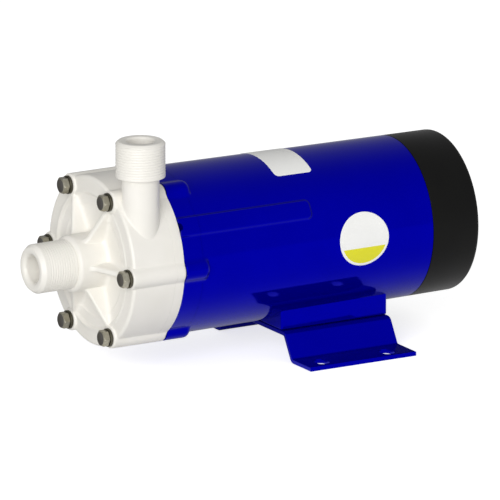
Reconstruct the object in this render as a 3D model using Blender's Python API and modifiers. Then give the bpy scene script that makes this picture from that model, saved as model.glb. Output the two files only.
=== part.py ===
"""Magnetic drive pump with a plastic head, a cast motor housing and a sheet foot.

Metres, +Z up. +X runs from the inlet nozzle to the rear cap, and the outlet nozzle
stands on the -Y side of the shaft. The origin is on the floor, under the shaft axis
and half way along the pump. Angles round the shaft are measured from the -Y side
upwards, as someone facing the outlet side sees them.
"""

import math

import bmesh
import bpy
from mathutils import Matrix, Vector

# Fit between two pieces that touch on the real pump
FIT = 0.0003

# Lengths along the shaft
INLET_REACH = 0.0351
CASING_DEPTH = 0.02615
REAR_FLANGE = 0.0052
HOUSING_LENGTH = 0.1534
CAP_LENGTH = 0.0285

# Pump head
HEAD_PROUD = 0.0006
HEAD_RIM_SETBACK = 0.0010
HEAD_RIM_ROUND = 0.0015
RIM_INSET = 0.0051
DISH_DEPTH = 0.0022
DISH_RISE = 0.0014
FRONT_WALL = 0.0050
BOLT_INSET = 0.0026
BOLT_COUNT = 6
BOSS_RADIUS = 0.0060
SCREW_HOLE = 0.0027
HUB_RADIUS = 0.0153
HUB_LENGTH = 0.0135
HUB_ROUND = 0.0022
RIB_THICKNESS = 0.0030
RIB_REACH = 0.0072

# Nozzles: 3/4 inch pipe thread
THREAD_RADIUS = 0.01322
NOZZLE_TIP_RADIUS = 0.0115
NOZZLE_CHAMFER = 0.0022
BORE_RADIUS = 0.0074
OUTLET_SETBACK = 0.0134
OUTLET_INSET = 0.0143
OUTLET_RISE = 0.0707
OUTLET_THREAD = 0.0194
NECK_RADIUS = 0.00995

# Volute and suction passage
VOLUTE_GROWTH = 0.0060
CUTWATER_GAP = 0.0025
SEAL_LAND = 0.0009
CUTWATER_ANGLE = 62.0
SUCTION_RADIUS = 0.0096
EYE_RADIUS = 0.0110
MOUTH_RING_WALL = 0.0030
MOUTH_RING_LENGTH = 0.0035
SPIDER_HUB = 0.0052
SPIDER_LENGTH = 0.0060
SPIDER_ARM = 0.0026

# Screws
WASHER_RADIUS = 0.0052
WASHER_THICKNESS = 0.0011
HEX_ACROSS_FLATS = 0.0080
HEX_HEIGHT = 0.0036
SHANK_RADIUS = 0.0024
SCREW_BITE = 0.0095

# Rear casing and what turns inside it
CUP_WALL = 0.0018
CUP_DEPTH = 0.0400
CUP_FLOOR = 0.0060
CUP_FILLET = 0.0030
THRUST_RING = 0.0020
SHROUD = 0.0018
VANE_HEIGHT = 0.0055
VANE_COUNT = 6
VANE_THICKNESS = 0.0018
CAPSULE_CLEARANCE = 0.0010
CAPSULE_WALL = 0.0015
CAPSULE_COVER = 0.0022
INNER_MAGNET_LENGTH = 0.0260
RING_GROOVE_INSET = 0.0046
RING_CORD = 0.0011

# Motor
HOUSING_RADIUS = 0.0450
HOUSING_TAPER = 0.0111
HOUSING_WALL = 0.0042
HOUSING_BOSS_LENGTH = 0.0152
HOUSING_BOSS_ROUND = 0.0024
LONG_RIB_ANGLES = (30.0, 210.0)
LONG_RIB_LENGTH = 0.0805
LONG_RIB_WIDTH = 0.0107
LONG_RIB_HEIGHT = 0.0013
LONG_RIB_CORNER = 0.0030
RIB_MOUTH_RADIUS = 0.0031
RIB_MOUTH_DEPTH = 0.0025
SHAFT_RADIUS = 0.0060
AIR_GAP = 0.0005
STATOR_BUILD = 0.0148
STACK_SETBACK = 0.0815
END_RING_LENGTH = 0.0040
END_RING_BUILD = 0.0070
SLOT_COUNT = 12
SLOT_WIDTH = 0.0046
SLOT_DEPTH = 0.0074
WINDING_OVERHANG = 0.0105
BEARING_RADIUS = 0.0160
BEARING_WIDTH = 0.0100
BALL_RADIUS = 0.0022
BALL_COUNT = 7
BEARING_SINK = 0.0020
SHIELD_WALL = 0.0045
MAGNET_CLEARANCE = 0.0014
YOKE_HUB_WALL = 0.0055
YOKE_HUB_LENGTH = 0.0100

# Rear cap, fan and gland
CAP_WALL = 0.0022
CAP_ROUND = 0.0026
CAP_LIP = 0.0028
CAP_SCREW_INSET = 0.0051
CAP_SCREW_RADIUS = 0.0015
CAP_POST_RADIUS = 0.0042
CAP_SCREW_HEAD = 0.0028
CAP_SCREW_SINK = 0.0024
FAN_CLEARANCE = 0.0008
FAN_BLADES = 7
FAN_DEPTH = 0.0085
VENT_COUNT = 7
VENT_WIDTH = 0.0026
GLAND_RADIUS = 0.0060
GLAND_REACH = 0.0140
GLAND_COLLAR = 0.0022
GLAND_COLLAR_DEPTH = 0.0030
GLAND_THREAD = 0.0040
SEAL_DEPTH = 0.0055
CORD_HOLE = 0.0034

# Foot
PEDESTAL_PROUD = 0.0002
PEDESTAL_HALF_WIDTH = 0.0273
PEDESTAL_LENGTH = 0.0648
PEDESTAL_REAR_SETBACK = 0.0192
SHEET = 0.0023
BRACKET_HEIGHT = 0.0153
BRACKET_HALF_WIDTH = 0.0577
CROWN_HALF_WIDTH = 0.0302
LEG_SPREAD = 0.0078
BEND_RADIUS = 0.0026
FOOT_SLOT_WIDTH = 0.0074
FOOT_SLOT_LENGTH = 0.0104
FOOT_SLOT_INSET = 0.0078
FOOT_SLOT_FRONT = 0.0111
FOOT_SLOT_REAR = 0.0137

# Radii, worked out from the motor's outside inwards
HEAD_RADIUS = HOUSING_RADIUS + HEAD_PROUD
BOLT_CIRCLE = HOUSING_RADIUS - BOLT_INSET
DISH_RADIUS = BOLT_CIRCLE - RIM_INSET
OUTLET_OFFSET = HEAD_RADIUS - OUTLET_INSET
RING_GROOVE_RADIUS = BOLT_CIRCLE - RING_GROOVE_INSET
VOLUTE_END = RING_GROOVE_RADIUS - RING_CORD - FIT - SEAL_LAND
VOLUTE_START = VOLUTE_END - VOLUTE_GROWTH
IMPELLER_RADIUS = VOLUTE_START - CUTWATER_GAP
HOUSING_BORE = HOUSING_RADIUS - HOUSING_TAPER * HOUSING_LENGTH - HOUSING_WALL
YOKE_RADIUS = 0.8056 * HOUSING_BORE
YOKE_WALL = 0.0818 * HOUSING_BORE
DRIVE_MAGNET_WALL = 0.1228 * HOUSING_BORE
DRIVE_MAGNET_RADIUS = YOKE_RADIUS - YOKE_WALL - FIT
DRIVE_MAGNET_BORE = DRIVE_MAGNET_RADIUS - DRIVE_MAGNET_WALL
CUP_RADIUS = DRIVE_MAGNET_BORE - MAGNET_CLEARANCE - CUP_WALL
CAPSULE_RADIUS = CUP_RADIUS - CAPSULE_CLEARANCE
SPINDLE_RADIUS = 0.158 * CAPSULE_RADIUS
BUSH_RADIUS = 2.0 * SPINDLE_RADIUS
STATOR_RADIUS = HOUSING_BORE - FIT
STATOR_BORE = STATOR_RADIUS - STATOR_BUILD
ROTOR_RADIUS = STATOR_BORE - AIR_GAP
CAP_SCREW_CIRCLE = HOUSING_BORE - CAP_SCREW_INSET
FAN_RADIUS = CAP_SCREW_CIRCLE - CAP_POST_RADIUS - FAN_CLEARANCE

# Stations along X and the height of the shaft
TOTAL_LENGTH = (INLET_REACH + CASING_DEPTH + REAR_FLANGE + HOUSING_LENGTH + CAP_LENGTH
                + 3.0 * FIT)
X_TIP = -0.5 * TOTAL_LENGTH
X_SEAT = X_TIP + INLET_REACH
X_JOINT = X_SEAT + CASING_DEPTH
X_FLANGE = X_JOINT + FIT
X_FLANGE_REAR = X_FLANGE + REAR_FLANGE
X_HOUSING = X_FLANGE_REAR + FIT
X_HOUSING_REAR = X_HOUSING + HOUSING_LENGTH
X_CAP = X_HOUSING_REAR + FIT
X_REAR = X_CAP + CAP_LENGTH
X_RIM = X_SEAT + HEAD_RIM_SETBACK
X_OUTLET = X_SEAT + OUTLET_SETBACK
X_PEDESTAL = X_HOUSING_REAR - PEDESTAL_REAR_SETBACK - PEDESTAL_LENGTH
PEDESTAL_DROP = HOUSING_RADIUS + PEDESTAL_PROUD
SHAFT_HEIGHT = BRACKET_HEIGHT + FIT + PEDESTAL_DROP

# Along the shaft inside the head and the cup
X_CHAMBER = X_RIM + DISH_DEPTH + FRONT_WALL
X_SPIDER_REAR = X_CHAMBER - 0.0052
X_BUSH = X_SPIDER_REAR + THRUST_RING + 2.0 * FIT
X_CUP_FLOOR = X_FLANGE + CUP_DEPTH
X_BUSH_REAR = X_CUP_FLOOR - THRUST_RING - 2.0 * FIT
X_CUP_REAR = X_CUP_FLOOR + CUP_FLOOR
X_IMPELLER = X_CHAMBER + 0.0016
X_BACK_SHROUD = X_IMPELLER + SHROUD + VANE_HEIGHT
X_MAGNET = X_FLANGE_REAR + 0.0025
X_MAGNET_REAR = X_MAGNET + INNER_MAGNET_LENGTH
X_CAPSULE_REAR = X_MAGNET_REAR + FIT

# Along the shaft inside the motor
X_REAR_SHIELD = X_HOUSING_REAR - CAP_LIP - FIT - SHIELD_WALL
X_REAR_BEARING = X_REAR_SHIELD - BEARING_WIDTH + BEARING_SINK
X_STACK = X_HOUSING + STACK_SETBACK
X_STACK_REAR = X_REAR_BEARING - WINDING_OVERHANG - BEARING_SINK
X_FRONT_BEARING = X_STACK - WINDING_OVERHANG - BEARING_SINK - BEARING_WIDTH
X_YOKE_FLOOR = X_CUP_REAR + 0.0020
X_YOKE_HUB_REAR = X_YOKE_FLOOR + YOKE_HUB_LENGTH
X_FAN = X_CAP + 0.0085
FAN_HUB_LENGTH = FAN_DEPTH + 0.0030

# How far a shape runs past the face that trims it
SPARE = 0.0010

# Turn of the bosses' facets, in degrees, away from the facets of the body they join
FACET_TWIST = 3.7

# Facets round a turn
FINE = 36
MEDIUM = 20
COARSE = 12


def clear_scene():
    """Empty the scene, so that a start-up cube never joins the model."""
    for thing in list(bpy.data.objects):
        bpy.data.objects.remove(thing, do_unlink=True)


def new_collection(name):
    """Make a collection under the scene's own."""
    group = bpy.data.collections.new(name)
    bpy.context.scene.collection.children.link(group)
    return group


def make_material(name, colour, roughness, metallic=0.0):
    """Make a plain finish from a linear colour."""
    material = bpy.data.materials.new(name)
    material.use_nodes = True
    shader = material.node_tree.nodes["Principled BSDF"]
    shader.inputs["Base Color"].default_value = (*colour, 1.0)
    shader.inputs["Roughness"].default_value = roughness
    shader.inputs["Metallic"].default_value = metallic
    material.diffuse_color = (*colour, 1.0)
    return material


clear_scene()
PARTS = new_collection("magnetic_drive_pump")
CUTTERS = new_collection("cutters")

# Local +Z runs along world +X, local +Y stays world +Y, and local +X points down
SHAFT = Matrix.Translation((0.0, 0.0, SHAFT_HEIGHT)) @ Matrix.Rotation(math.pi / 2, 4, "Y")
OUTLET = Matrix.Translation((X_OUTLET, -OUTLET_OFFSET, SHAFT_HEIGHT))

WHITE_PLASTIC = make_material("white_polypropylene", (0.86, 0.85, 0.80), 0.45)
BLUE_PAINT = make_material("blue_paint", (0.0, 0.0, 0.33), 0.15)
BLACK_PLASTIC = make_material("black_nylon", (0.01, 0.01, 0.01), 0.5)
SCREW_STEEL = make_material("stainless_screw_steel", (0.20, 0.19, 0.17), 0.4, 1.0)
CERAMIC = make_material("alumina_ceramic", (0.80, 0.78, 0.70), 0.3)
CARBON = make_material("carbon_bearing", (0.03, 0.03, 0.03), 0.5)
RUBBER = make_material("black_rubber", (0.02, 0.02, 0.02), 0.8)
MAGNET = make_material("ferrite_magnet", (0.05, 0.05, 0.055), 0.6)
STEEL = make_material("turned_steel", (0.45, 0.45, 0.45), 0.3, 1.0)
LAMINATIONS = make_material("lamination_steel", (0.25, 0.25, 0.26), 0.5, 1.0)
COPPER = make_material("enamelled_copper", (0.45, 0.16, 0.05), 0.35, 1.0)
ALUMINIUM = make_material("cast_aluminium", (0.55, 0.56, 0.58), 0.45, 1.0)


def round_points(centre, radius, start, end, count):
    """Points of an arc in a flat outline, both ends included."""
    points = []
    for index in range(count + 1):
        angle = math.radians(start + (end - start) * index / count)
        points.append((centre[0] + radius * math.cos(angle),
                       centre[1] + radius * math.sin(angle)))
    return points


def around(radius, degrees):
    """Local place on a face square to the shaft, at an angle from the -Y side upwards."""
    angle = math.radians(degrees)
    return (-radius * math.sin(angle), -radius * math.cos(angle))


def bolt_angles():
    """Angles of the cover screws round the shaft."""
    return [360.0 * index / BOLT_COUNT for index in range(BOLT_COUNT)]


def bolt_place(degrees):
    """Frame on one cover screw's axis, twisted a little so that no facets coincide."""
    turn = Matrix.Rotation(math.radians(FACET_TWIST - degrees), 4, "Z")
    return SHAFT @ Matrix.Translation((*around(BOLT_CIRCLE, degrees), 0.0)) @ turn


def signed_area(outline):
    """Twice the area of an outline, positive when it runs anticlockwise."""
    total = 0.0
    for (x0, y0), (x1, y1) in zip(outline, outline[1:] + outline[:1]):
        total += x0 * y1 - x1 * y0
    return total


def add_object(name, mesh, material, place, group=None):
    """Put a mesh in the scene as one named object."""
    thing = bpy.data.objects.new(name, mesh)
    thing.matrix_world = place
    (group or PARTS).objects.link(thing)
    if material is not None:
        mesh.materials.append(material)
    return thing


def smooth(mesh, degrees=35.0):
    """Shade round faces smooth and keep the edges between flat ones."""
    mesh.shade_smooth()
    mesh.set_sharp_from_angle(angle=math.radians(degrees))


def turned(name, outline, material, facets=FINE, place=SHAFT, group=None):
    """Turn a closed outline of (along, radius) points round the local Z axis."""
    points = list(outline)
    on_axis = points[0][1] == 0.0 and points[-1][1] == 0.0
    if signed_area([(radius, along) for along, radius in points]) > 0.0:
        points.reverse()
    mesh = bpy.data.meshes.new(name)
    corners = [(radius, 0.0, along) for along, radius in points]
    edges = [(index, index + 1) for index in range(len(corners) - 1)]
    if not on_axis:
        edges.append((len(corners) - 1, 0))
    mesh.from_pydata(corners, edges, [])
    thing = add_object(name, mesh, material, place, group)
    screw = thing.modifiers.new("turn", "SCREW")
    screw.axis = "Z"
    screw.angle = 2.0 * math.pi
    screw.steps = facets
    screw.render_steps = facets
    screw.use_merge_vertices = True
    screw.merge_threshold = 0.00001
    return thing


def bar(name, radius, start, end, centre=(0.0, 0.0), material=None, facets=MEDIUM,
        place=SHAFT, group=None):
    """A round bar along the local Z axis."""
    mesh = bpy.data.meshes.new(name)
    shape = bmesh.new()
    bmesh.ops.create_cone(shape, cap_ends=True, segments=facets, radius1=radius,
                          radius2=radius, depth=end - start,
                          matrix=Matrix.Translation((*centre, 0.5 * (start + end))))
    shape.to_mesh(mesh)
    shape.free()
    smooth(mesh)
    return add_object(name, mesh, material, place, group)


def block(name, low, high, material=None, place=Matrix.Identity(4), group=None):
    """A square block between two opposite corners."""
    mesh = bpy.data.meshes.new(name)
    shape = bmesh.new()
    size = Vector(high) - Vector(low)
    middle = (Vector(high) + Vector(low)) / 2.0
    bmesh.ops.create_cube(shape, size=1.0,
                          matrix=Matrix.Translation(middle) @ Matrix.Diagonal((*size, 1.0)))
    shape.to_mesh(mesh)
    shape.free()
    return add_object(name, mesh, material, place, group)


def plate(name, outline, start, end, material=None, place=SHAFT, group=None):
    """A flat outline, filled and given thickness along the local Z axis."""
    curve = bpy.data.curves.new(name, "CURVE")
    curve.dimensions = "2D"
    curve.fill_mode = "BOTH"
    curve.extrude = 0.5 * (end - start)
    line = curve.splines.new("POLY")
    line.points.add(len(outline) - 1)
    for point, (x, y) in zip(line.points, outline):
        point.co = (x, y, 0.0, 1.0)
    line.use_cyclic_u = True
    guide = bpy.data.objects.new(name + "_outline", curve)
    bpy.context.scene.collection.objects.link(guide)
    bpy.context.view_layer.update()
    evaluated = guide.evaluated_get(bpy.context.evaluated_depsgraph_get())
    mesh = bpy.data.meshes.new_from_object(evaluated)
    bpy.data.objects.remove(guide, do_unlink=True)
    mesh.name = name
    mesh.materials.clear()
    mesh.transform(Matrix.Translation((0.0, 0.0, 0.5 * (start + end))))
    shape = bmesh.new()
    shape.from_mesh(mesh)
    bmesh.ops.remove_doubles(shape, verts=shape.verts, dist=0.00001)
    bmesh.ops.recalc_face_normals(shape, faces=shape.faces)
    shape.to_mesh(mesh)
    shape.free()
    return add_object(name, mesh, material, place, group)


def combine(target, tool, operation, solver="EXACT"):
    """Add one live Boolean and hide its tool among the cutters."""
    step = target.modifiers.new(tool.name, "BOOLEAN")
    step.operation = operation
    step.solver = solver
    step.object = tool
    for group in list(tool.users_collection):
        group.objects.unlink(tool)
    CUTTERS.objects.link(tool)
    tool.hide_render = True
    tool.display_type = "WIRE"
    return target


def join(target, tool):
    """Fuse a tool shape to a piece."""
    return combine(target, tool, "UNION")


def cut(target, tool):
    """Take a tool shape out of a piece."""
    return combine(target, tool, "DIFFERENCE")


def trim(target, start, end):
    """Cut a piece off flat between two stations along the shaft."""
    return cut(target, bar("trim", 2.0 * HEAD_RADIUS, start, end, facets=COARSE))


def housing_radius(x):
    """Outer radius of the motor, which narrows a little towards the rear."""
    return HOUSING_RADIUS - HOUSING_TAPER * (x - X_HOUSING)


def nozzle_outline(tip, direction):
    """Tip, chamfer and thread start of a nozzle, as (along, radius) points."""
    return [(tip, NOZZLE_TIP_RADIUS),
            (tip + direction * NOZZLE_CHAMFER, THREAD_RADIUS)]


def front_casing_body():
    """The turned outside of the front casing, still solid inside."""
    hub_front = X_SEAT - HUB_LENGTH
    dish = X_RIM + DISH_DEPTH
    hub_foot = dish - DISH_RISE
    outline = [(X_TIP, 0.0)]
    outline += nozzle_outline(X_TIP, 1.0)
    outline += [(hub_front - 0.0004, THREAD_RADIUS), (hub_front, THREAD_RADIUS - 0.0006)]
    outline += [(hub_front + HUB_ROUND - HUB_ROUND * math.cos(math.radians(angle)),
                 HUB_RADIUS - HUB_ROUND + HUB_ROUND * math.sin(math.radians(angle)))
                for angle in (0.0, 45.0, 90.0)]
    outline += [(hub_foot - 0.0015, HUB_RADIUS), (hub_foot, HUB_RADIUS + 0.0018),
                (dish - 0.0002, DISH_RADIUS - 0.0018), (X_RIM, DISH_RADIUS)]
    outline += [(X_RIM + HEAD_RIM_ROUND - HEAD_RIM_ROUND * math.cos(math.radians(angle)),
                 HEAD_RADIUS - HEAD_RIM_ROUND + HEAD_RIM_ROUND * math.sin(math.radians(angle)))
                for angle in (0.0, 45.0, 90.0)]
    outline += [(X_JOINT + 2.0 * SPARE, HEAD_RADIUS), (X_JOINT + 2.0 * SPARE, 0.0)]
    return turned("front_casing", outline, WHITE_PLASTIC)


def gusset(degrees):
    """One radial rib from the hub to a screw boss, thicker at its foot."""
    inner = HUB_RADIUS - 0.0015
    outer = BOLT_CIRCLE - WASHER_RADIUS - 0.0002
    front = X_SEAT - RIB_REACH
    foot = X_RIM + DISH_DEPTH + 0.6 * FRONT_WALL
    mesh = bpy.data.meshes.new("rib")
    shape = bmesh.new()
    bmesh.ops.create_cube(shape, size=2.0)
    for corner in shape.verts:
        far = corner.co.y > 0.0
        deep = corner.co.z > 0.0
        side = math.copysign(0.5 * RIB_THICKNESS * (1.5 if deep else 1.0), corner.co.x)
        radius = outer if far else inner
        along = foot if deep else (X_SEAT + 0.0002 if far else front)
        corner.co = (side, -radius, along)
    bmesh.ops.recalc_face_normals(shape, faces=shape.faces)
    shape.to_mesh(mesh)
    shape.free()
    turn = Matrix.Rotation(-math.radians(degrees), 4, "Z")
    return add_object("rib", mesh, None, SHAFT @ turn)


def volute():
    """Spiral space round the impeller, wider towards the outlet."""
    outline = []
    steps = 40
    for index in range(steps + 1):
        turn = index / steps
        radius = VOLUTE_START + VOLUTE_GROWTH * turn
        outline.append(around(radius, CUTWATER_ANGLE + 345.0 * turn))
    return plate("volute", outline, X_CHAMBER, X_JOINT + 0.0010)


def spider():
    """Three arms and a hub that hold the front end of the spindle in the inlet."""
    start = X_SPIDER_REAR - SPIDER_LENGTH
    hub = bar("spider", SPIDER_HUB, start, X_SPIDER_REAR, facets=MEDIUM)
    for index in range(3):
        angle = 90.0 + 120.0 * index
        half = 0.5 * SPIDER_ARM
        arm = block("spider_arm", (-half, 0.0, start + 0.0004),
                    (half, SUCTION_RADIUS + 0.0008, X_SPIDER_REAR - 0.0004),
                    place=SHAFT @ Matrix.Rotation(math.radians(angle), 4, "Z"))
        join(hub, arm)
    return hub


def front_casing():
    """The white moulding with both nozzles, ribs, bosses and the volute."""
    casing = front_casing_body()
    for degrees in bolt_angles():
        join(casing, bar("screw_boss", BOSS_RADIUS, X_SEAT, X_JOINT + SPARE,
                         facets=20, place=bolt_place(degrees)))
        join(casing, gusset(degrees))
    trim(casing, X_JOINT, X_JOINT + 5.0 * SPARE)
    thread_foot = OUTLET_RISE - OUTLET_THREAD
    neck = [(0.0, 0.0), (0.0, NECK_RADIUS), (thread_foot, NECK_RADIUS),
            (thread_foot + 0.0005, THREAD_RADIUS)]
    neck += list(reversed(nozzle_outline(OUTLET_RISE, -1.0)))
    neck += [(OUTLET_RISE, 0.0)]
    join(casing, turned("outlet_nozzle", neck, None, 28, OUTLET))
    cut(casing, volute())
    suction = [(X_TIP - 0.0010, 0.0), (X_TIP - 0.0010, BORE_RADIUS),
               (X_SEAT - HUB_LENGTH + 0.0020, BORE_RADIUS),
               (X_SEAT - 0.0060, SUCTION_RADIUS), (X_CHAMBER - MOUTH_RING_LENGTH, SUCTION_RADIUS),
               (X_CHAMBER - MOUTH_RING_LENGTH, EYE_RADIUS + MOUTH_RING_WALL),
               (X_CHAMBER + 0.0010, EYE_RADIUS + MOUTH_RING_WALL),
               (X_CHAMBER + 0.0010, 0.0)]
    cut(casing, turned("suction_passage", suction, None, MEDIUM))
    cut(casing, bar("outlet_bore", BORE_RADIUS, 0.0020, OUTLET_RISE + 0.0010, place=OUTLET,
                    facets=MEDIUM))
    for degrees in bolt_angles():
        combine(casing, bar("screw_hole", SCREW_HOLE, X_SEAT - SPARE, X_JOINT + SPARE,
                            facets=COARSE, place=bolt_place(degrees)), "DIFFERENCE", "MANIFOLD")
    join(casing, spider())
    socket = SPINDLE_RADIUS + FIT
    cut(casing, bar("spindle_socket", socket, X_SPIDER_REAR - SPIDER_LENGTH + 0.0015,
                    X_SPIDER_REAR + 0.0010, facets=COARSE))
    return casing


def lobed_outline(radius):
    """Outline of a round flange with a lobe round every cover screw."""
    spread = math.degrees(math.acos((radius ** 2 + BOLT_CIRCLE ** 2 - BOSS_RADIUS ** 2)
                                    / (2.0 * radius * BOLT_CIRCLE)))
    outline = []
    for degrees in bolt_angles():
        centre = Vector(around(BOLT_CIRCLE, degrees))
        start = Vector(around(radius, degrees - spread)) - centre
        out = math.degrees(Vector(around(1.0, degrees)).to_2d().angle_signed(start.to_2d()))
        for index in range(7):
            turn = math.radians(abs(out) * (index / 3.0 - 1.0) + degrees)
            outline.append((centre.x - BOSS_RADIUS * math.sin(turn),
                            centre.y - BOSS_RADIUS * math.cos(turn)))
        gap = 360.0 / BOLT_COUNT - 2.0 * spread
        for index in range(1, 5):
            outline.append(around(radius, degrees + spread + gap * index / 5.0))
    return outline


def rear_casing():
    """Flange and thin-walled cup that close the wet side off from the motor."""
    outer = CUP_RADIUS + CUP_WALL
    casing = plate("rear_casing", lobed_outline(HEAD_RADIUS), X_FLANGE, X_FLANGE_REAR,
                   WHITE_PLASTIC)
    cup = [(X_FLANGE + SPARE, 0.0), (X_FLANGE + SPARE, outer + CUP_FILLET),
           (X_FLANGE_REAR, outer + CUP_FILLET), (X_FLANGE_REAR + 0.0020, outer),
           (X_CUP_REAR - 0.0020, outer), (X_CUP_REAR, outer - 0.0020), (X_CUP_REAR, 0.0)]
    join(casing, turned("cup", cup, None, MEDIUM))
    socket_end = X_CUP_REAR - 0.0015
    inside = [(X_FLANGE - SPARE, 0.0), (X_FLANGE - SPARE, CUP_RADIUS),
              (X_CUP_FLOOR - 0.0020, CUP_RADIUS), (X_CUP_FLOOR, CUP_RADIUS - 0.0020),
              (X_CUP_FLOOR, SPINDLE_RADIUS + FIT), (socket_end, SPINDLE_RADIUS + FIT),
              (socket_end, 0.0)]
    cut(casing, turned("cup_bore", inside, None, MEDIUM))
    half = RING_CORD + FIT
    groove = [(X_FLANGE - SPARE, RING_GROOVE_RADIUS + half),
              (X_FLANGE + 2.0 * RING_CORD, RING_GROOVE_RADIUS + half),
              (X_FLANGE + 2.0 * RING_CORD, RING_GROOVE_RADIUS - half),
              (X_FLANGE - SPARE, RING_GROOVE_RADIUS - half)]
    cut(casing, turned("seal_groove", groove, None, MEDIUM))
    for degrees in bolt_angles():
        cut(casing, bar("flange_hole", SCREW_HOLE, X_FLANGE - SPARE, X_FLANGE_REAR + SPARE,
                        facets=COARSE, place=bolt_place(degrees)))
    return casing


def ring(name, inner, outer, start, end, material, facets=MEDIUM):
    """A plain ring on the shaft axis."""
    return turned(name, [(start, outer), (end, outer), (end, inner), (start, inner)],
                  material, facets)


def casing_o_ring():
    """Round-section seal in the groove of the rear casing's flange."""
    middle = (X_FLANGE + RING_CORD - 0.5 * FIT, RING_GROOVE_RADIUS)
    section = round_points(middle, RING_CORD - 0.5 * FIT, 0.0, 360.0, 6)[:-1]
    return turned("casing_o_ring", section, RUBBER, MEDIUM)


def mouth_ring():
    """Wear ring round the eye of the impeller."""
    outer = EYE_RADIUS + MOUTH_RING_WALL - FIT
    start = X_CHAMBER - MOUTH_RING_LENGTH + FIT
    return ring("mouth_ring", EYE_RADIUS, outer, start, X_CHAMBER, CARBON)


def spindle():
    """The fixed ceramic shaft that the impeller turns on."""
    start = X_SPIDER_REAR - SPIDER_LENGTH + 0.0015 + FIT
    return turned("spindle", [(start, 0.0), (start, SPINDLE_RADIUS),
                              (X_CUP_REAR - 0.0015 - FIT, SPINDLE_RADIUS),
                              (X_CUP_REAR - 0.0015 - FIT, 0.0)], CERAMIC, MEDIUM)


def thrust_rings():
    """The two rings that take the impeller's push along the shaft."""
    inner = SPINDLE_RADIUS + FIT
    ring("front_thrust_ring", inner, SPIDER_HUB, X_SPIDER_REAR + FIT, X_BUSH - FIT, CERAMIC)
    ring("rear_thrust_ring", inner, BUSH_RADIUS + 0.0010, X_BUSH_REAR + FIT,
         X_CUP_FLOOR - FIT, CERAMIC)


def vane(index):
    """One backward-curved blade between the shrouds."""
    inner = EYE_RADIUS - 0.0010
    outer = IMPELLER_RADIUS - 0.0004
    steps = 3
    sweep = 55.0
    left = []
    right = []
    for step in range(steps + 1):
        share = step / steps
        radius = inner + (outer - inner) * share
        degrees = 360.0 * index / VANE_COUNT - sweep * share
        half = math.degrees(0.5 * VANE_THICKNESS / radius)
        left.append(around(radius, degrees + half))
        right.append(around(radius, degrees - half))
    return plate("vane", left + right[::-1], X_IMPELLER + 0.5 * SHROUD,
                 X_BACK_SHROUD + 0.5 * SHROUD)


def impeller():
    """Closed impeller: front shroud with its eye, vanes, back shroud and magnet pocket."""
    bore = BUSH_RADIUS + FIT
    pocket_in = bore + CAPSULE_WALL
    pocket_out = CAPSULE_RADIUS - CAPSULE_WALL
    back = X_BACK_SHROUD + SHROUD
    outline = [(X_BACK_SHROUD, IMPELLER_RADIUS), (back, IMPELLER_RADIUS),
               (back, CAPSULE_RADIUS), (X_CAPSULE_REAR, CAPSULE_RADIUS),
               (X_CAPSULE_REAR, pocket_out), (X_MAGNET - FIT, pocket_out),
               (X_MAGNET - FIT, pocket_in), (X_CAPSULE_REAR, pocket_in),
               (X_CAPSULE_REAR, bore), (X_IMPELLER, bore),
               (X_IMPELLER, bore + 0.0015), (X_BACK_SHROUD - 0.0020, bore + 0.0020)]
    wheel = turned("impeller", outline, WHITE_PLASTIC, MEDIUM)
    for index in range(VANE_COUNT):
        join(wheel, vane(index))
    eye = EYE_RADIUS - 0.0004
    shroud = [(X_CHAMBER - 0.0028, eye), (X_IMPELLER + 0.0005, eye),
              (X_IMPELLER + 0.0005, IMPELLER_RADIUS),
              (X_IMPELLER + SHROUD, IMPELLER_RADIUS), (X_IMPELLER + SHROUD, eye - 0.0014),
              (X_CHAMBER - 0.0028, eye - 0.0014)]
    join(wheel, turned("front_shroud", shroud, None, MEDIUM))
    return wheel


def inner_magnet():
    """Ring magnet sealed in the impeller's pocket."""
    inner = BUSH_RADIUS + FIT + CAPSULE_WALL + FIT
    outer = CAPSULE_RADIUS - CAPSULE_WALL - FIT
    return ring("inner_magnet", inner, outer, X_MAGNET, X_MAGNET_REAR, MAGNET)


def magnet_cover():
    """Plastic ring welded over the open end of the magnet pocket."""
    start = X_CAPSULE_REAR + FIT
    return ring("magnet_cover", BUSH_RADIUS + FIT, CAPSULE_RADIUS, start, start + CAPSULE_COVER,
                WHITE_PLASTIC)


def impeller_bush():
    """Carbon sleeve that runs on the spindle."""
    return ring("impeller_bush", SPINDLE_RADIUS + FIT, BUSH_RADIUS, X_BUSH, X_BUSH_REAR,
                CARBON)


def drive_magnet():
    """Ring of magnets that turns round the rear casing's cup."""
    return ring("drive_magnet", DRIVE_MAGNET_BORE, DRIVE_MAGNET_RADIUS, X_MAGNET,
                X_MAGNET_REAR, MAGNET, MEDIUM)


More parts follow.
